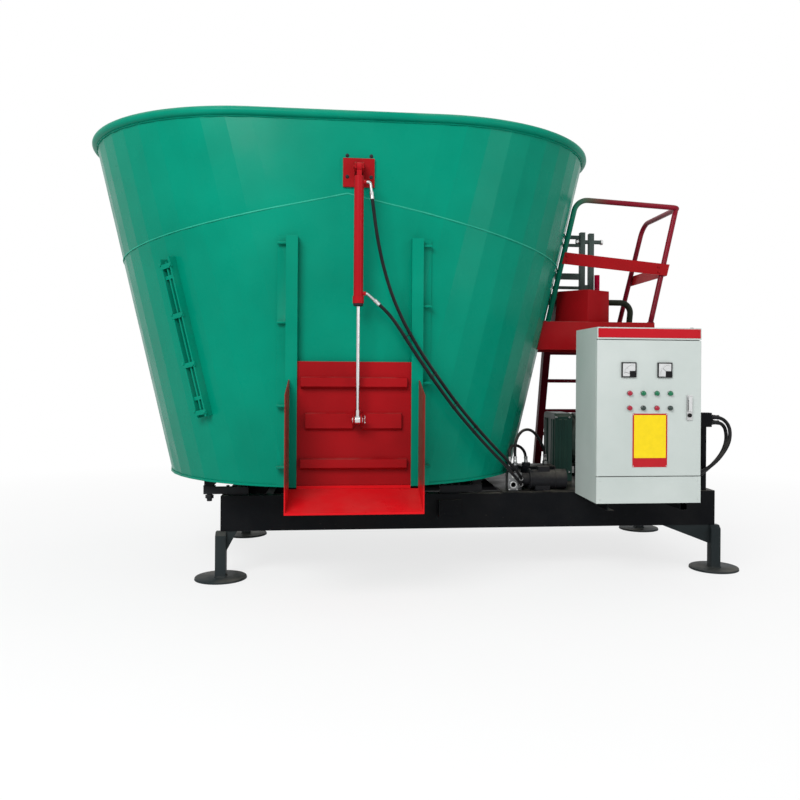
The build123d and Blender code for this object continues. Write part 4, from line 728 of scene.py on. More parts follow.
# Load cells carry the tub: a blackened bar each, with a cup and a hanging stud, held by three
# bolts down into the beam.
wear_node(["load_cells"], blackened, edge=0.001, round_below=31)
CELLS_AT, CELL_X, CELL_Y, CELL_TOP = -0.778, 0.785, 0.5925, 0.523
cell_bolts = [spot(CELLS_AT + side * (CELL_X - along), wall * CELL_Y, CELL_TOP)
              for side in (-1, 1) for wall in (-1, 1) for along in (0.105, 0.150, 0.195)]
hex_bolts("load_cell_bolts", cell_bolts, UP, 0.017, blackened)


# The drive: gearbox and belt guard are a dark grey-green, and the main motor is a plainer grey.
# The guard's swages are pressed and the motor's ribs cast in, so both come with their nodes.
drive_paint = enamel("drive_green", (0.020, 0.050, 0.040, 1), (0.014, 0.036, 0.030, 1), roughness=0.34,
                     chips=0.5, dust=0.4)
motor_paint = enamel("motor_grey", (0.034, 0.050, 0.043, 1), (0.024, 0.037, 0.032, 1), roughness=0.38,
                     chips=0.4, dust=0.4)
wear_node(["planetary_gearbox"], drive_paint, round_below=31)
wear_node(["belt_guard"], drive_paint, edge=0.003)
wear_node(["main_motor"], motor_paint, edge=0.0012)
FLANGE_RADIUS, FLANGE_Z = 0.230, 0.530
gear_bolts = [(TUB_AT[0] + FLANGE_RADIUS * math.cos(turn), TUB_AT[1] + FLANGE_RADIUS * math.sin(turn),
               FLANGE_Z) for turn in np.linspace(0, 2 * np.pi, 12, endpoint=False)]
hex_bolts("gearbox_flange_bolts", gear_bolts, (0, 0, -1), 0.024, washer=False)
guard_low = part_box("belt_guard")[0]
guard_screws = [(guard_low[0] + x, guard_low[1], z) for x in (0.014, 0.104) for z in (0.540, 0.905)]
hex_bolts("guard_screws", guard_screws, TO_FRONT, 0.010)


# The power pack: black tank with a breather cap and a blank white plate, a black pump motor, and
# a milled steel valve block with two coils, a round gauge port and a white cap.
def milled_steel():
    material, tree, shader = new_material("milled_steel", 0.42, metallic=1.0)
    lines = noise_node(tree, object_place(tree), 110.0, 3.0, 0.6, stretch=(0.06, 1.0, 1.0))
    tone = mix_node(tree, lines, (0.13, 0.135, 0.14, 1), (0.24, 0.245, 0.25, 1))
    dusted(tree, shader, tone, 0.40, 0.35, 14.0)
    bump(tree, shader, lines, 0.3, 0.0002)
    return material


def blocks(name, matrices, material, edge=0.001, body="machine"):
    """Unit cubes placed by matrices as one piece, with every edge broken by edge metres."""
    build = bmesh.new()
    for matrix in matrices:
        bmesh.ops.create_cube(build, size=1.0, matrix=matrix)
    if edge:
        bmesh.ops.bevel(build, geom=build.edges[:], offset=edge, segments=2, affect="EDGES", profile=0.7)
    mesh = bpy.data.meshes.new(name)
    build.to_mesh(mesh)
    build.free()
    add_piece(name, mesh, material, body)


def slabs(name, boxes, material, edge=0.001, body="machine"):
    """Small plates: boxes are (lowest corner, highest corner) in the drawing's metres."""
    placed = [(spot(*low), spot(*high)) for low, high in boxes]
    blocks(name, [Matrix.Translation((low + high) / 2) @ Matrix.Diagonal((*(high - low), 1.0))
                  for low, high in placed], material, edge, body)


wear_node(["oil_tank"], frame_paint, edge=0.002, round_below=31)
wear_node(["pump_motor"], blackened, round_below=31)
wear_node(["valve_block"], milled_steel(), edge=0.0008, round_below=31)
white_plastic = enamel("white_plastic", (0.72, 0.72, 0.70, 1), (0.66, 0.66, 0.64, 1), roughness=0.4,
                       chips=0.0, dust=0.35, coat=0.0)
turned_object("valve_coils", [spot(0.222, -0.545, 0.594), spot(0.262, -0.520, 0.594)], UP,
              [(0.0, 0.0185), (0.002, 0.0195), (0.036, 0.0195), (0.038, 0.0180), (0.038, 0.009),
               (0.049, 0.009), (0.050, 0.007)], blackened)
turned_object("tank_breather", spot(0.360, -0.390, 0.612), UP,
              [(0.0, 0.0250), (0.003, 0.0262), (0.019, 0.0262), (0.0215, 0.0240), (0.0215, 0.010)], blackened)
turned_object("tank_union", spot(0.500, -0.320, 0.616), UP,
              [(0.0, 0.0148), (0.018, 0.0148), (0.019, 0.0130), (0.0238, 0.0130)], zinc_plate, hexagon=(0, 1))
turned_object("valve_port_ring", spot(0.2365, -0.5855, 0.520), TO_FRONT,
              [(-0.001, 0.0222), (0.004, 0.0222), (0.005, 0.0210), (0.005, 0.0152), (-0.001, 0.0152)],
              zinc_plate, sides=40)
turned_object("valve_cap", spot(0.2365, -0.5852, 0.571), TO_FRONT,
              [(0.0, 0.011), (0.009, 0.011), (0.011, 0.009), (0.011, 0.004)], white_plastic)
slabs("tank_plate", [((0.395, -0.4318, 0.520), (0.445, -0.4302, 0.556))], white_plastic, edge=0.0004)
valve_screws = [spot(x, -0.585, z) for x in (0.213, 0.260) for z in (0.490, 0.550)]
hex_bolts("valve_block_screws", valve_screws, TO_FRONT, 0.008, washer=False)


# Counter-knife slots: a housing of two bars with straps, bolted through, painted with the tub.
SLOT_FOOT, SLOT_HEAD, SLOT_TURN = 0.950, 1.815, 53
SLOT_DEPTH, SLOT_BOLT_HALF = 0.0475, 0.038
turn = math.radians(SLOT_TURN)
for name, side in (("knife_slot_front", -1), ("knife_slot_rear", 1)):
    out = np.array([math.cos(turn), math.sin(turn), 0.0]) * side
    across = np.array([-out[1], out[0], 0.0])
    bolts = []
    for share in (0.03, 0.33, 0.64, 0.95):
        z = SLOT_FOOT + (SLOT_HEAD - SLOT_FOOT) * share
        radius, straight = wall_at(z)
        centre = np.array([TUB_AT[0] + side * straight, TUB_AT[1], z]) + out * (radius + SLOT_DEPTH)
        bolts += [centre - across * SLOT_BOLT_HALF, centre + across * SLOT_BOLT_HALF]
    hex_bolts(name + "_bolts", bolts, out, 0.015, fitting_paint, washer=False)


# The auger is bare steel, polished by the feed where it slides and brown in the corners: a
# tapered column with a welded flight, and eight cutting knives bolted along its edge.
def worn_steel():
    material, tree, shader = new_material("worn_steel", 0.3, metallic=1.0)
    place = object_place(tree)
    streaks = noise_node(tree, place, 18.0, 5.0, 0.65, stretch=(1.0, 1.0, 0.3))
    polish = mix_node(tree, streaks, (0.24, 0.235, 0.228, 1), (0.45, 0.44, 0.425, 1))
    rust = remap_node(tree, noise_node(tree, place, 3.4, 6.0, 0.7), 0.55, 0.68, 0.0, 0.75)
    tree.links.new(mix_node(tree, rust, polish, (0.10, 0.045, 0.022, 1)), shader.inputs["Base Color"])
    tree.links.new(math_node(tree, "SUBTRACT", 1.0, rust), shader.inputs["Metallic"])
    rough = remap_node(tree, math_node(tree, "ADD", streaks, rust), 0.3, 1.3, 0.34, 0.85)
    tree.links.new(rough, shader.inputs["Roughness"])
    bump(tree, shader, streaks, 0.3, 0.0008)
    return material


auger_steel = worn_steel()
FLIGHT_FOOT, FLIGHT_HEAD, FLIGHT_TURNS, FLIGHT_START = 0.613, 1.960, 3.25, 250
FLIGHT_HALF = 0.007
EDGE_LOW, EDGE_HIGH, TAPER_START = 0.985, 0.430, 0.14
COLUMN_FOOT, COLUMN_HEAD = 0.626, 2.080
COLUMN_LOW, COLUMN_HIGH = 0.284, 0.144


def flight_line(share, part):
    """Point on the flight: share runs up its length, part 0 at the column and 1 at the edge."""
    turn = np.radians(FLIGHT_START + share * FLIGHT_TURNS * 360)
    z = FLIGHT_FOOT + (FLIGHT_HEAD - FLIGHT_FOOT) * share
    climb = np.clip((z - COLUMN_FOOT) / (COLUMN_HEAD - COLUMN_FOOT), 0, 1)
    inner = COLUMN_LOW + (COLUMN_HIGH - COLUMN_LOW) * climb
    taper = np.clip((share - TAPER_START) / (1 - TAPER_START), 0, 1)
    outer = EDGE_LOW + (EDGE_HIGH - EDGE_LOW) * taper
    radius = inner + (outer - inner) * part
    return np.stack([TUB_AT[0] + radius * np.cos(turn), TUB_AT[1] + radius * np.sin(turn), z], axis=-1)


share = np.linspace(0, 1, 470)
section = [(0.0, -1), (0.5, -1), (1.0, -1), (1.0, 1), (0.5, 1), (0.0, 1)]
flight_lines = [flight_line(share, part) + (0, 0, side * FLIGHT_HALF) for part, side in section]
flight_grid = np.stack(flight_lines, axis=1)
flight = grid_object("auger_flight", flight_grid, auger_steel, body="auger")
flight.data.set_sharp_from_angle(angle=math.radians(40))
column = turned_object("auger_column", (*TUB_AT, 0.0), UP,
                       [(0.602, 0.338), (0.604, 0.340), (0.624, 0.340), (0.626, 0.338), (0.626, 0.290),
                        (2.076, 0.1505), (2.080, 0.147), (2.080, 0.02)], auger_steel, "auger", sides=96)
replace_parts(flight, "auger_screw")
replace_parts(column, "auger_screw")
inner_path = flight_line(np.linspace(0.01, 0.99, 2600), 0.0)
radial = (inner_path - (*TUB_AT, 0.0)) * (1, 1, 0)
radial /= np.linalg.norm(radial, axis=1, keepdims=True)
bead = bead_grid(inner_path + radial * 0.008 + (0, 0, 0.008), (radial + (0, 0, 1)) * 0.7, 0.012, 0.006)
grid_object("auger_weld", bead, auger_steel, body="auger")
wear_node(["auger_knives"], auger_steel, edge=0.0015)
KNIFE_SHARES = (0.25, 0.35, 0.45, 0.55, 0.65, 0.75, 0.86, 0.95)
SEAT_LOW, SEAT_HIGH = np.array([-0.062, -0.042, 0.0]), np.array([0.030, 0.042, 0.009])
BOLT_UP = 0.0195
seats, knife_bolts, knife_up = [], [], []
for share in KNIFE_SHARES:
    edge, behind = flight_line(np.array(share), 1.0), flight_line(np.array(share - 0.004), 1.0)
    outward = (edge - (*TUB_AT, 0.0)) * (1, 1, 0)
    outward /= np.linalg.norm(outward)
    forward = (edge - behind) / np.linalg.norm(edge - behind)
    axes = np.stack([outward, forward, np.cross(outward, forward)], axis=1)
    for along in (-0.026, 0.030):
        knife_bolts += [edge + axes @ (reach, along, BOLT_UP) for reach in (-0.035, 0.022)]
    knife_up += [axes[:, 2]] * 4
    seat = np.eye(4)
    seat[:3, :3] = axes * (SEAT_HIGH - SEAT_LOW)
    seat[:3, 3] = edge + axes @ (SEAT_LOW + SEAT_HIGH) / 2
    seats.append(Matrix(seat))
turned_object("knife_bolts", knife_bolts, knife_up,
              [(-0.012, 0.008), (0.0, 0.008), (0.008, 0.008), (0.009, 0.0068), (0.009, 0.002)],
              auger_steel, "auger", hexagon=(1, 2))
blocks("knife_seats", seats, auger_steel, 0.0, "auger")


# The service platform is a red sheet tray against the tub, with a treaded floor inside its lip.
# Its hand rail is round tube, crimson on the outer side and green where it meets the tub.
def tread_height(tree):
    """Raised tread bars as two crossed waves, only on faces that look up."""
    place = split_vector(tree, object_place(tree))
    waves = []
    for operation in ("ADD", "SUBTRACT"):
        along = math_node(tree, "MULTIPLY", math_node(tree, operation, place["X"], place["Y"]), 150.0)
        waves.append(math_node(tree, "SINE", along))
    bars = remap_node(tree, math_node(tree, "MULTIPLY", *waves), 0.35, 0.6, 0.0, 1.0)
    facing = split_vector(tree, tree.nodes.new("ShaderNodeNewGeometry").outputs["True Normal"])
    return math_node(tree, "MULTIPLY", bars, remap_node(tree, facing["Z"], 0.8, 0.9, 0.0, 1.0))


def tread_plate():
    material, tree, shader = new_material("tread_red", 0.4, coat=0.05, shine=PAINT_SHINE)
    spray(tree, shader, DOOR_RED, DOOR_RED_DEEP, 0.38, 0.8, 0.3, 0.7, 5.0)
    bump(tree, shader, tread_height(tree), 0.8, 0.002)
    return material


def rail_paint(green_until):
    """Tube paint that turns from the tub's green, beside the tub, to dark crimson from this X on."""
    material, tree, shader = new_material("rail_paint", 0.32, coat=0.03, shine=0.08)
    along = split_vector(tree, object_place(tree))["X"]
    outer = remap_node(tree, along, green_until, green_until + 0.24, 0.0, 1.0)
    tone = mix_node(tree, outer, (0.0, 0.150, 0.090, 1), (0.200, 0.004, 0.016, 1))
    second = mix_node(tree, outer, (0.0, 0.085, 0.052, 1), (0.120, 0.003, 0.011, 1))
    bump(tree, shader, spray(tree, shader, tone, second, 0.3, 0.6, 0.4, 0.25, 6.0), 0.6, 0.0006)
    return material


def rounded_path(corners, radii, step=0.012):
    """Points along straight runs joined by true arcs at the inner corners."""
    corners = [np.array(corner, float) for corner in corners]
    points = [corners[0]]
    for before, corner, after, radius in zip(corners, corners[1:], corners[2:], radii):
        back, ahead = before - corner, after - corner
        back, ahead = back / np.linalg.norm(back), ahead / np.linalg.norm(ahead)
        half = math.acos(float(np.clip(np.dot(back, ahead), -1, 1))) / 2
        centre = corner + (back + ahead) / np.linalg.norm(back + ahead) * radius / math.sin(half)
        start, stop = corner + back * radius / math.tan(half), corner + ahead * radius / math.tan(half)
        sweep = math.pi - 2 * half
        u = (start - centre) / radius
        v = (stop - centre) / radius - u * math.cos(sweep)
        v /= np.linalg.norm(v)
        for angle in np.linspace(0, sweep, max(4, int(radius * sweep / step))):
            points.append(centre + radius * (u * math.cos(angle) + v * math.sin(angle)))
    points.append(corners[-1])
    return np.array(points)


def tube_grid(path, radius, sides=24):
    """A round tube along a path, its ring carried from point to point without twisting."""
    tangent = np.gradient(path, axis=0)
    tangent /= np.linalg.norm(tangent, axis=1, keepdims=True)
    first = square_to(tangent[0])[0]
    turn = np.linspace(0, 2 * np.pi, sides, endpoint=False)[:, None]
    rings = []
    for centre, ahead in zip(path, tangent):
        first = first - ahead * np.dot(first, ahead)
        first = first / np.linalg.norm(first)
        second = np.cross(ahead, first)
        rings.append(centre + radius * (np.cos(turn) * first + np.sin(turn) * second))
    return np.array(rings)


wear_node(["platform_deck"], tread_plate(), edge=0.002)
wear_node(["kick_plate"], door_paint, edge=0.0012)
PLATFORM_TOP, RAIL_TOP_LEFT, RAIL_TOP_RIGHT = 1.530, 2.318, 2.282
POST_RADIUS = 0.017
WALL_TO_LEG = 0.008
rail_low, rail_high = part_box("platform_rail")
rail_front, rail_back = rail_low[1] + POST_RADIUS, rail_high[1] - POST_RADIUS
rail_right = rail_high[0] - POST_RADIUS
post_foot = spot(1.193, 0, 0)[0]


def wall_leg(z):
    """X of the rail's leg beside the tub, which follows the wall's lean."""
    radius, straight = wall_at(z)
    reach = math.sqrt(radius ** 2 - (rail_front - TUB_AT[1]) ** 2)
    return TUB_AT[0] + straight + reach + POST_RADIUS + WALL_TO_LEG


crimson_tube = rail_paint(wall_leg(RAIL_TOP_LEFT) - 0.02)
leg_foot = wall_leg(PLATFORM_TOP)
rail_route = rounded_path([(leg_foot, rail_front, PLATFORM_TOP),
                           (wall_leg(RAIL_TOP_LEFT), rail_front, RAIL_TOP_LEFT),
                           (rail_right, rail_front, RAIL_TOP_RIGHT),
                           (rail_right, rail_back, RAIL_TOP_RIGHT),
                           (post_foot, rail_back, PLATFORM_TOP)], [0.090, 0.040, 0.090])
post_route = straight_path((post_foot, rail_front, PLATFORM_TOP),
                           (rail_right - 0.014, rail_front + 0.010, RAIL_TOP_RIGHT - 0.006), 0.05)
for name, route in (("rail_bent", rail_route), ("rail_post", post_route)):
    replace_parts(grid_object(name, tube_grid(route, POST_RADIUS), crimson_tube), "platform_rail")
RING_RADIUS = 0.0185
turn = np.linspace(0, 2 * np.pi, 120, endpoint=False)
ring = np.stack([np.cos(turn), np.sin(turn), 0 * turn], axis=-1)
for index, (x, y) in enumerate(((leg_foot, rail_front), (post_foot, rail_front), (post_foot, rail_back))):
    path = ring * RING_RADIUS + (x, y, PLATFORM_TOP + 0.001)
    bead = bead_grid(path, (ring + (0, 0, 1)) / math.sqrt(2), 0.008, 0.004)
    grid_object(f"rail_weld_{index}", bead, crimson_tube, closed=True)
kick_low, kick_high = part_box("kick_plate")
kick_left, kick_right = wall_leg(1.936) + 0.020, kick_high[0] - 0.075
kick_bolts = [(x, kick_low[1], z) for x, z in ((kick_left, 1.950), (kick_left, 1.918),
                                              (kick_right, 1.892), (kick_right, 1.858))]
hex_bolts("kick_plate_bolts", kick_bolts, TO_FRONT, 0.013, door_paint)


# The ladder is dark crimson and the sheet box red. The mast is two grey bars with a pin through
# them, and the short post beside it is bright crimson.
ladder_paint = enamel("ladder_red", (0.115, 0.004, 0.012, 1), (0.080, 0.003, 0.009, 1), roughness=0.4,
                      chips=0.7, dust=0.3)
mast_paint = enamel("mast_grey", (0.075, 0.100, 0.092, 1), (0.055, 0.078, 0.070, 1), roughness=0.4,
                    chips=0.5, dust=0.35)
crimson = enamel("post_crimson", (0.42, 0.0, 0.030, 1), (0.34, 0.0, 0.024, 1), chips=0.4, dust=0.2)
wear_node(["ladder"], ladder_paint, edge=0.002)
wear_node(["platform_box"], door_paint, edge=0.003)
wear_node(["mast"], mast_paint, edge=0.0015, round_below=31)
wear_node(["mast_post"], crimson, round_below=31)
mast_pin = spot(0.858, -0.020, 2.097)
hex_bolts("mast_pin_head", mast_pin + (-0.060, 0, 0), (-1, 0, 0), 0.030)
hex_bolts("mast_pin_nut", mast_pin + (0.098, 0, 0), (1, 0, 0), 0.030)


# The dark olive pipe leaves the tub's end, crosses over the platform and bends down onto its floor.
pipe_paint = enamel("pipe_olive", (0.018, 0.024, 0.015, 1), (0.012, 0.017, 0.011, 1), roughness=0.45,
                    chips=0.6, dust=0.45)
PIPE_Z, PIPE_RADIUS = 1.700, 0.021
pipe_low, pipe_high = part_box("bent_pipe")
pipe_y = (pipe_low[1] + pipe_high[1]) / 2
pipe_end = spot(1.222, 0, 0)[0]
pipe_route = rounded_path([(pipe_low[0] - 0.012, pipe_y, PIPE_Z), (pipe_end + 0.018, pipe_y, PIPE_Z),
                           (pipe_end + 0.002, pipe_y, PLATFORM_TOP + 0.0005)], [0.070])
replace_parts(grid_object("pipe_bent", tube_grid(pipe_route, PIPE_RADIUS), pipe_paint), "bent_pipe")
turned_object("pipe_collars", (pipe_low[0] + 0.006, pipe_y, PIPE_Z), (1, 0, 0),
              [(0.0, 0.030), (0.006, 0.031), (0.010, 0.0285), (0.010, 0.0215)], pipe_paint)


# The switch cabinet is powder-coated pale grey with a fine texture. Its hinged door has a rubber
# seal behind it, two meters, eight lamps, a blank sign and a lever lock; a red panel is the header.
def powder_coat(name, color, second, roughness=0.5):
    material, tree, shader = new_material(name, roughness, shine=0.12)
    place = object_place(tree)
    drift = remap_node(tree, noise_node(tree, place, 3.0, 4.0), 0.3, 0.7, 0.0, 1.0)
    dusted(tree, shader, mix_node(tree, drift, color, second), roughness, 0.28, 5.0)
    bump(tree, shader, noise_node(tree, place, 520.0, 2.0), 0.35, 0.0003)
    return material


cabinet_grey = powder_coat("cabinet_grey", (0.515, 0.560, 0.540, 1), (0.460, 0.510, 0.488, 1))
header_red = powder_coat("header_red", (0.440, 0.006, 0.014, 1), (0.400, 0.005, 0.012, 1), 0.42)
wear_node(["cabinet_body", "cabinet_door"], cabinet_grey, edge=0.0012)
wear_node(["cabinet_switchgear"], white_plastic, edge=0.001)
CABINET_X0, CABINET_X1, CABINET_Y = 0.600, 1.202, -1.060
HEADER_LOW, HEADER_HIGH = 1.3985, 1.4495
slabs("cabinet_header", [((CABINET_X0 + 0.006, CABINET_Y - 0.0025, HEADER_LOW),
                          (CABINET_X1 - 0.006, CABINET_Y + 0.002, HEADER_HIGH))], header_red)
SEAL_LOW, SEAL_HIGH, SEAL_WIDTH = 0.633, 1.382, 0.010
seal_left, seal_right = CABINET_X0 + 0.004, CABINET_X1 - 0.004
seal_inner, seal_outer = seal_left + SEAL_WIDTH, seal_right - SEAL_WIDTH
strips = ((seal_left, SEAL_LOW, seal_inner, SEAL_HIGH), (seal_outer, SEAL_LOW, seal_right, SEAL_HIGH),
          (seal_inner, SEAL_LOW, seal_outer, SEAL_LOW + SEAL_WIDTH),
          (seal_inner, SEAL_HIGH - SEAL_WIDTH, seal_outer, SEAL_HIGH))
slabs("cabinet_seal", [((x0, CABINET_Y + 0.0198, z0), (x1, CABINET_Y + 0.0228, z1))
                       for x0, z0, x1, z1 in strips], hose_rubber, 0.0008, "cabinet_door")
PAN_HEAD = [(-0.0005, 0.0050), (0.0006, 0.0050), (0.0019, 0.0040), (0.0024, 0.0022), (0.0018, 0.0006)]
header_screws = [spot(x, CABINET_Y - 0.0025, z) for x in (0.618, 1.184) for z in (1.408, 1.440)]
plinth_screws = [spot(x, CABINET_Y, z) for x in (0.622, 1.180) for z in (0.500, 0.604)]
turned_object("cabinet_header_screws", header_screws, TO_FRONT, PAN_HEAD, header_red)
turned_object("cabinet_plinth_screws", plinth_screws, TO_FRONT, PAN_HEAD, cabinet_grey)
lift_plugs = [spot(x, y, 1.456) for x in (0.640, 1.162) for y in (-1.020, -0.700)]
turned_object("cabinet_lift_plugs", lift_plugs, UP,
              [(0.0, 0.011), (0.003, 0.011), (0.004, 0.010), (0.004, 0.002)], hose_rubber)


# Meters: a black bezel round a white dial with a printed scale arc, a needle, and a black corner
# that hides the movement. The scale is plain ticks, with no words or marks.
def plain_paint(name, color, roughness, coat=0.0):
    material, tree, shader = new_material(name, roughness, coat=coat, shine=0.12)
    drift = noise_node(tree, object_place(tree), 30.0, 3.0)
    darker = (*(channel * 0.82 for channel in color[:3]), 1)
    dusted(tree, shader, mix_node(tree, drift, color, darker), roughness, 0.22, 11.0)
    return material


black_plastic = plain_paint("black_plastic", (0.007, 0.007, 0.008, 1), 0.35)
dial_white = plain_paint("dial_white", (0.60, 0.61, 0.61, 1), 0.3, coat=0.3)
METER_X, METER_Z = (0.780, 0.987), 1.220
METER_HALF, DIAL_HALF = 0.042, 0.036
CORNER_X, CORNER_Z = 0.004, -0.006
PIVOT, SCALE_RADIUS = 0.024, 0.054
MARKS, FIRST_MARK, MARK_STEP, LONG_MARK_EVERY = 11, 92, 8.6, 5
FACE_Y = CABINET_Y - 0.0003


def on_meters(rectangles, out, back):
    """Boxes on both meters: rectangles are (left, low, right, high) from a meter's middle, and the
    boxes reach from out to back in front of the cabinet's face."""
    return [((x + left, FACE_Y - out, METER_Z + low), (x + right, FACE_Y - back, METER_Z + high))
            for x in METER_X for left, low, right, high in rectangles]


def dial_wire(name, meter, degrees, start, stop, radius, rows, over=0.0):
    """A thin black wire on a meter, start to stop metres from its pivot, at degrees from level."""
    pivot = spot(METER_X[meter] + PIVOT, FACE_Y - 0.0086 - over, METER_Z - PIVOT)
    ray = np.array([math.cos(math.radians(degrees)), 0, math.sin(math.radians(degrees))])
    line = np.linspace(pivot + ray * start, pivot + ray * stop, rows)
    grid_object(name, wire_grid(line, radius, 6), black_plastic, body="cabinet_door")


bezel = ((-METER_HALF, -METER_HALF, -DIAL_HALF, METER_HALF), (DIAL_HALF, -METER_HALF, METER_HALF, METER_HALF),
         (-DIAL_HALF, DIAL_HALF, DIAL_HALF, METER_HALF), (-DIAL_HALF, -METER_HALF, DIAL_HALF, -DIAL_HALF))
dial = ((-DIAL_HALF, -DIAL_HALF, DIAL_HALF, DIAL_HALF),)
corner = ((CORNER_X, -DIAL_HALF, DIAL_HALF, CORNER_Z),)
slabs("meter_bezels", on_meters(bezel, 0.010, 0.0), black_plastic, 0.001, "cabinet_door")
slabs("meter_dials", on_meters(dial, 0.0082, 0.0006), dial_white, 0.0004, "cabinet_door")
slabs("meter_corners", on_meters(corner, 0.0094, 0.008), black_plastic, 0.0004, "cabinet_door")
for meter, degrees in enumerate((168, 138)):
    dial_wire(f"meter_needle_{meter}", meter, degrees, 0.012, 0.048, 0.0007, 4, over=0.001)
for index in range(MARKS * len(METER_X)):
    meter, mark = divmod(index, MARKS)
    start = SCALE_RADIUS - (0.006 if mark % LONG_MARK_EVERY else 0.009)
    dial_wire(f"meter_tick_{index}", meter, FIRST_MARK + mark * MARK_STEP, start, SCALE_RADIUS, 0.0005, 3)


# Lamps: a chromed ring round a domed lens, red or green, the second row's even ones unlit. The
# lever lock has a steel plate, a pale lever and a black key barrel.
def lens(name, color, glow):
    material, tree, shader = new_material(name, 0.16, coat=0.15, shine=0.3)
    facets = noise_node(tree, object_place(tree), 180.0, 1.0)
    tone = mix_node(tree, facets, (*(channel * 0.55 for channel in color[:3]), 1), color)
    tree.links.new(tone, shader.inputs["Base Color"])
    tree.links.new(tone, shader.inputs["Emission Color"])
    shader.inputs["Emission Strength"].default_value = glow
    bump(tree, shader, facets, 0.3, 0.0004)
    return material


lens_red = lens("lens_red", (0.40, 0.010, 0.035, 1), 0.02)
lens_green = lens("lens_green", (0.001, 0.170, 0.070, 1), 0.02)
lens_dark = lens("lens_dark", (0.030, 0.050, 0.044, 1), 0.0)
LAMP_X, LAMP_STEP, LAMP_RADIUS = 0.786, 0.078, 0.0165
lamp_rows = ((1.090, (lens_red, lens_green, lens_green, lens_green)),
             (1.008, (lens_red, lens_dark, lens_red, lens_dark)))
lamp_ring = [(0.0, LAMP_RADIUS), (0.005, LAMP_RADIUS), (0.0065, LAMP_RADIUS - 0.001),
             (0.0065, LAMP_RADIUS - 0.0022), (0.0, LAMP_RADIUS - 0.0022)]
lamp_dome = [(0.0, 0.0138), (0.012, 0.0138), (0.0155, 0.0126), (0.0175, 0.0096), (0.0185, 0.0054),
             (0.0188, 0.001)]
lamps = [(glass, spot(LAMP_X + index * LAMP_STEP, FACE_Y, z))
         for z, lenses in lamp_rows for index, glass in enumerate(lenses)]
rings = turned_object("lamp_rings", [place for glass, place in lamps], TO_FRONT, lamp_ring, chrome_rod,
                      "cabinet_door", sides=32)
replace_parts(rings, "cabinet_instruments")
for glass in (lens_red, lens_green, lens_dark):
    places = [place for other, place in lamps if other == glass]
    turned_object("lamps_" + glass.name, places, TO_FRONT, lamp_dome, glass, "cabinet_door", sides=28)
LOCK_X, LOCK_Z = 1.132, 1.010
lock_left, lock_right = LOCK_X - 0.009, LOCK_X + 0.009
slabs("lock_plate", [((LOCK_X - 0.016, FACE_Y - 0.007, LOCK_Z - 0.070),
                      (LOCK_X + 0.016, FACE_Y, LOCK_Z + 0.070))], zinc_plate, 0.0015, "cabinet_door")
slabs("lock_lever", [((lock_left, FACE_Y - 0.020, LOCK_Z - 0.020),
                      (lock_right, FACE_Y - 0.012, LOCK_Z + 0.062)),
                     ((lock_left, FACE_Y - 0.013, LOCK_Z + 0.044),
                      (lock_right, FACE_Y - 0.006, LOCK_Z + 0.062))], dial_white, 0.0025, "cabinet_door")
turned_object("lock_barrel", spot(LOCK_X, FACE_Y - 0.006, LOCK_Z - 0.042), TO_FRONT,
              [(0.0, 0.0115), (0.008, 0.0115), (0.010, 0.0100), (0.010, 0.0026), (0.006, 0.0022)],
              black_plastic, "cabinet_door")


# The sign on the door is left blank: a thin yellow plate with a red edge and a red band at its
# foot, held by four rivets. The door turns on two plated knuckles.
sign_yellow = plain_paint("sign_yellow", (0.86, 0.64, 0.012, 1), 0.35, coat=0.05)
sign_red = plain_paint("sign_red", (0.46, 0.012, 0.020, 1), 0.35, coat=0.05)
SIGN_LEFT, SIGN_LOW, SIGN_RIGHT, SIGN_HIGH = 0.805, 0.679, 1.005, 0.977
SIGN_EDGE, SIGN_BAND = 0.008, 0.051
slabs("sign_edge", [((SIGN_LEFT, FACE_Y - 0.0012, SIGN_LOW), (SIGN_RIGHT, FACE_Y, SIGN_HIGH))], sign_red,
      0.0004, "cabinet_door")
slabs("sign_field", [((SIGN_LEFT + SIGN_EDGE, FACE_Y - 0.0020, SIGN_LOW + SIGN_BAND),
                      (SIGN_RIGHT - SIGN_EDGE, FACE_Y - 0.0006, SIGN_HIGH - SIGN_EDGE))], sign_yellow, 0.0003,
      "cabinet_door")
rivets = [spot(x, FACE_Y - 0.0012, z) for x in (SIGN_LEFT + 0.004, SIGN_RIGHT - 0.004)
          for z in (SIGN_LOW + 0.006, SIGN_HIGH - 0.006)]
turned_object("sign_rivets", rivets, TO_FRONT,
              [(0.0, 0.0030), (0.0008, 0.0029), (0.0016, 0.0018), (0.0019, 0.0004)], zinc_plate,
              "cabinet_door")
turned_object("cabinet_hinge_knuckles", [spot(0.609, -1.049, z) for z in (0.6265, 1.3785)], UP,
              [(0.0, 0.0058), (0.0035, 0.0058), (0.0045, 0.0045), (0.0045, 0.0042)], zinc_plate)


# Cable glands on the cabinet's side and on the post's box are black nuts with a domed cap.
gland_places = [spot(1.2025, -0.700, 0.580), spot(1.2025, -0.660, 0.530), spot(1.4755, -0.600, 0.932),
                spot(1.4755, -0.600, 0.900)]
turned_object("cable_glands", gland_places, (1, 0, 0),
              [(0.0, 0.0172), (0.006, 0.0172), (0.007, 0.0160), (0.007, 0.0168), (0.0165, 0.0160),
               (0.0205, 0.0135), (0.0225, 0.0120)], black_plastic, hexagon=(0, 1))


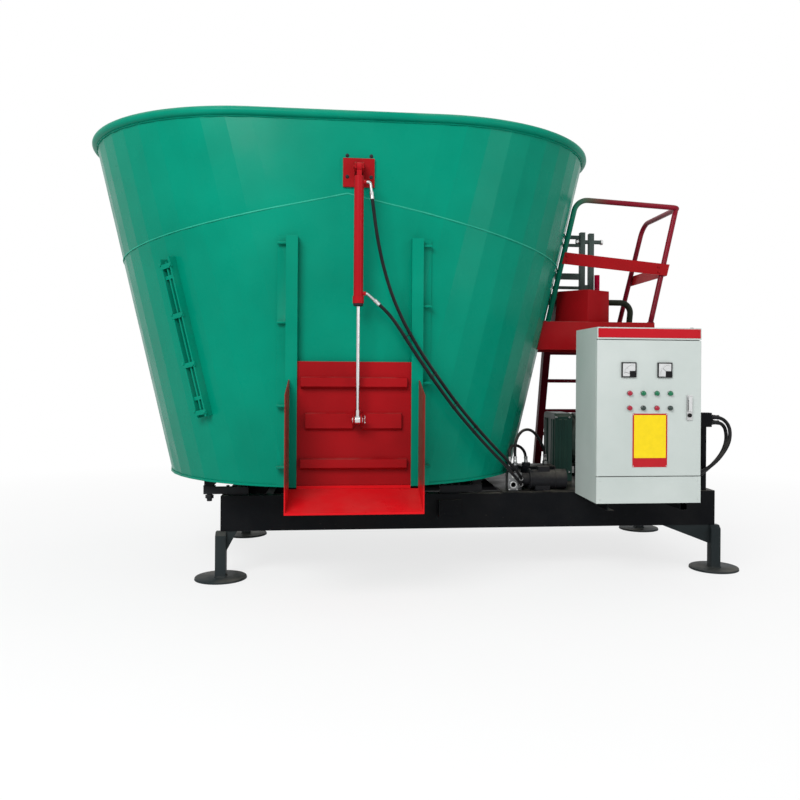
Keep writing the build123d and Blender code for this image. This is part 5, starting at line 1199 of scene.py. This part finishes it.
# Studio: a pale floor that fades into a white world, a large soft light from the upper left, a
# weaker one from the right and a broad one overhead.
def white_where_seen(tree, shaded, white, fade=None):
    """A white glow mixed over this shading for rays from the camera, and off metal and glass."""
    rays = tree.nodes.new("ShaderNodeLightPath")
    seen = math_node(tree, "MAXIMUM", rays.outputs["Is Camera Ray"], rays.outputs["Is Glossy Ray"])
    seen = math_node(tree, "MAXIMUM", seen, rays.outputs["Is Transmission Ray"])
    if fade is not None:
        seen = math_node(tree, "MULTIPLY", seen, fade)
    glow = tree.nodes.new(white)
    glow.inputs["Color"].default_value = (1.0, 1.0, 1.0, 1)
    either = tree.nodes.new("ShaderNodeMixShader")
    for socket, output in zip(either.inputs, (seen, shaded, glow.outputs[0])):
        tree.links.new(output, socket)
    return either.outputs[0]


def studio_floor():
    material, tree, shader = new_material("studio_floor", 0.55, shine=0.1)
    place = object_place(tree)
    drift = noise_node(tree, place, 1.3, 3.0)
    tone = mix_node(tree, drift, (0.80, 0.80, 0.80, 1), (0.84, 0.84, 0.84, 1))
    tree.links.new(tone, shader.inputs["Base Color"])
    away = tree.nodes.new("ShaderNodeVectorMath")
    away.operation = "LENGTH"
    tree.links.new(place, away.inputs[0])
    fade = remap_node(tree, away.outputs["Value"], 2.2, 6.0, 0.76, 1.0)
    seen = white_where_seen(tree, shader.outputs[0], "ShaderNodeEmission", fade)
    tree.links.new(seen, tree.nodes["Material Output"].inputs["Surface"])
    return material


FLOOR_HALF = 30
floor_corners = [(x * FLOOR_HALF, y * FLOOR_HALF, 0) for x, y in ((-1, -1), (1, -1), (1, 1), (-1, 1))]
floor_mesh = bpy.data.meshes.new("floor")
floor_mesh.from_pydata(floor_corners, [], [(0, 1, 2, 3)])
floor_mesh.materials.append(studio_floor())
floor = bpy.data.objects.new("floor", floor_mesh)
scene.collection.objects.link(floor)
floor.location.z = -0.0005


def soft_light(name, place, aim, size, power):
    """An area light at a place, turned to its aim."""
    data = bpy.data.lights.new(name, "AREA")
    data.shape = "RECTANGLE"
    data.size, data.size_y = size
    data.energy = power
    light = bpy.data.objects.new(name, data)
    light.location = place
    light.rotation_euler = (Vector(aim) - Vector(place)).to_track_quat("-Z", "Y").to_euler()
    scene.collection.objects.link(light)


soft_light("key", (-3.0, -6.3, 5.4), (-0.3, 0.0, 1.2), (4.0, 3.0), 465)
soft_light("fill", (5.2, -5.0, 3.2), (0.4, -0.2, 1.1), (3.0, 3.5), 90)
soft_light("top", (0.0, 1.4, 6.8), (0.0, 0.0, 1.0), (5.5, 4.0), 110)

world = bpy.data.worlds.new("studio")
scene.world = world
world.use_nodes = True
sky = world.node_tree
backdrop = sky.nodes["Background"]
backdrop.inputs["Color"].default_value = (0.86, 0.87, 0.88, 1)
backdrop.inputs["Strength"].default_value = 0.55
seen = white_where_seen(sky, backdrop.outputs[0], "ShaderNodeBackground")
sky.links.new(seen, sky.nodes["World Output"].inputs["Surface"])
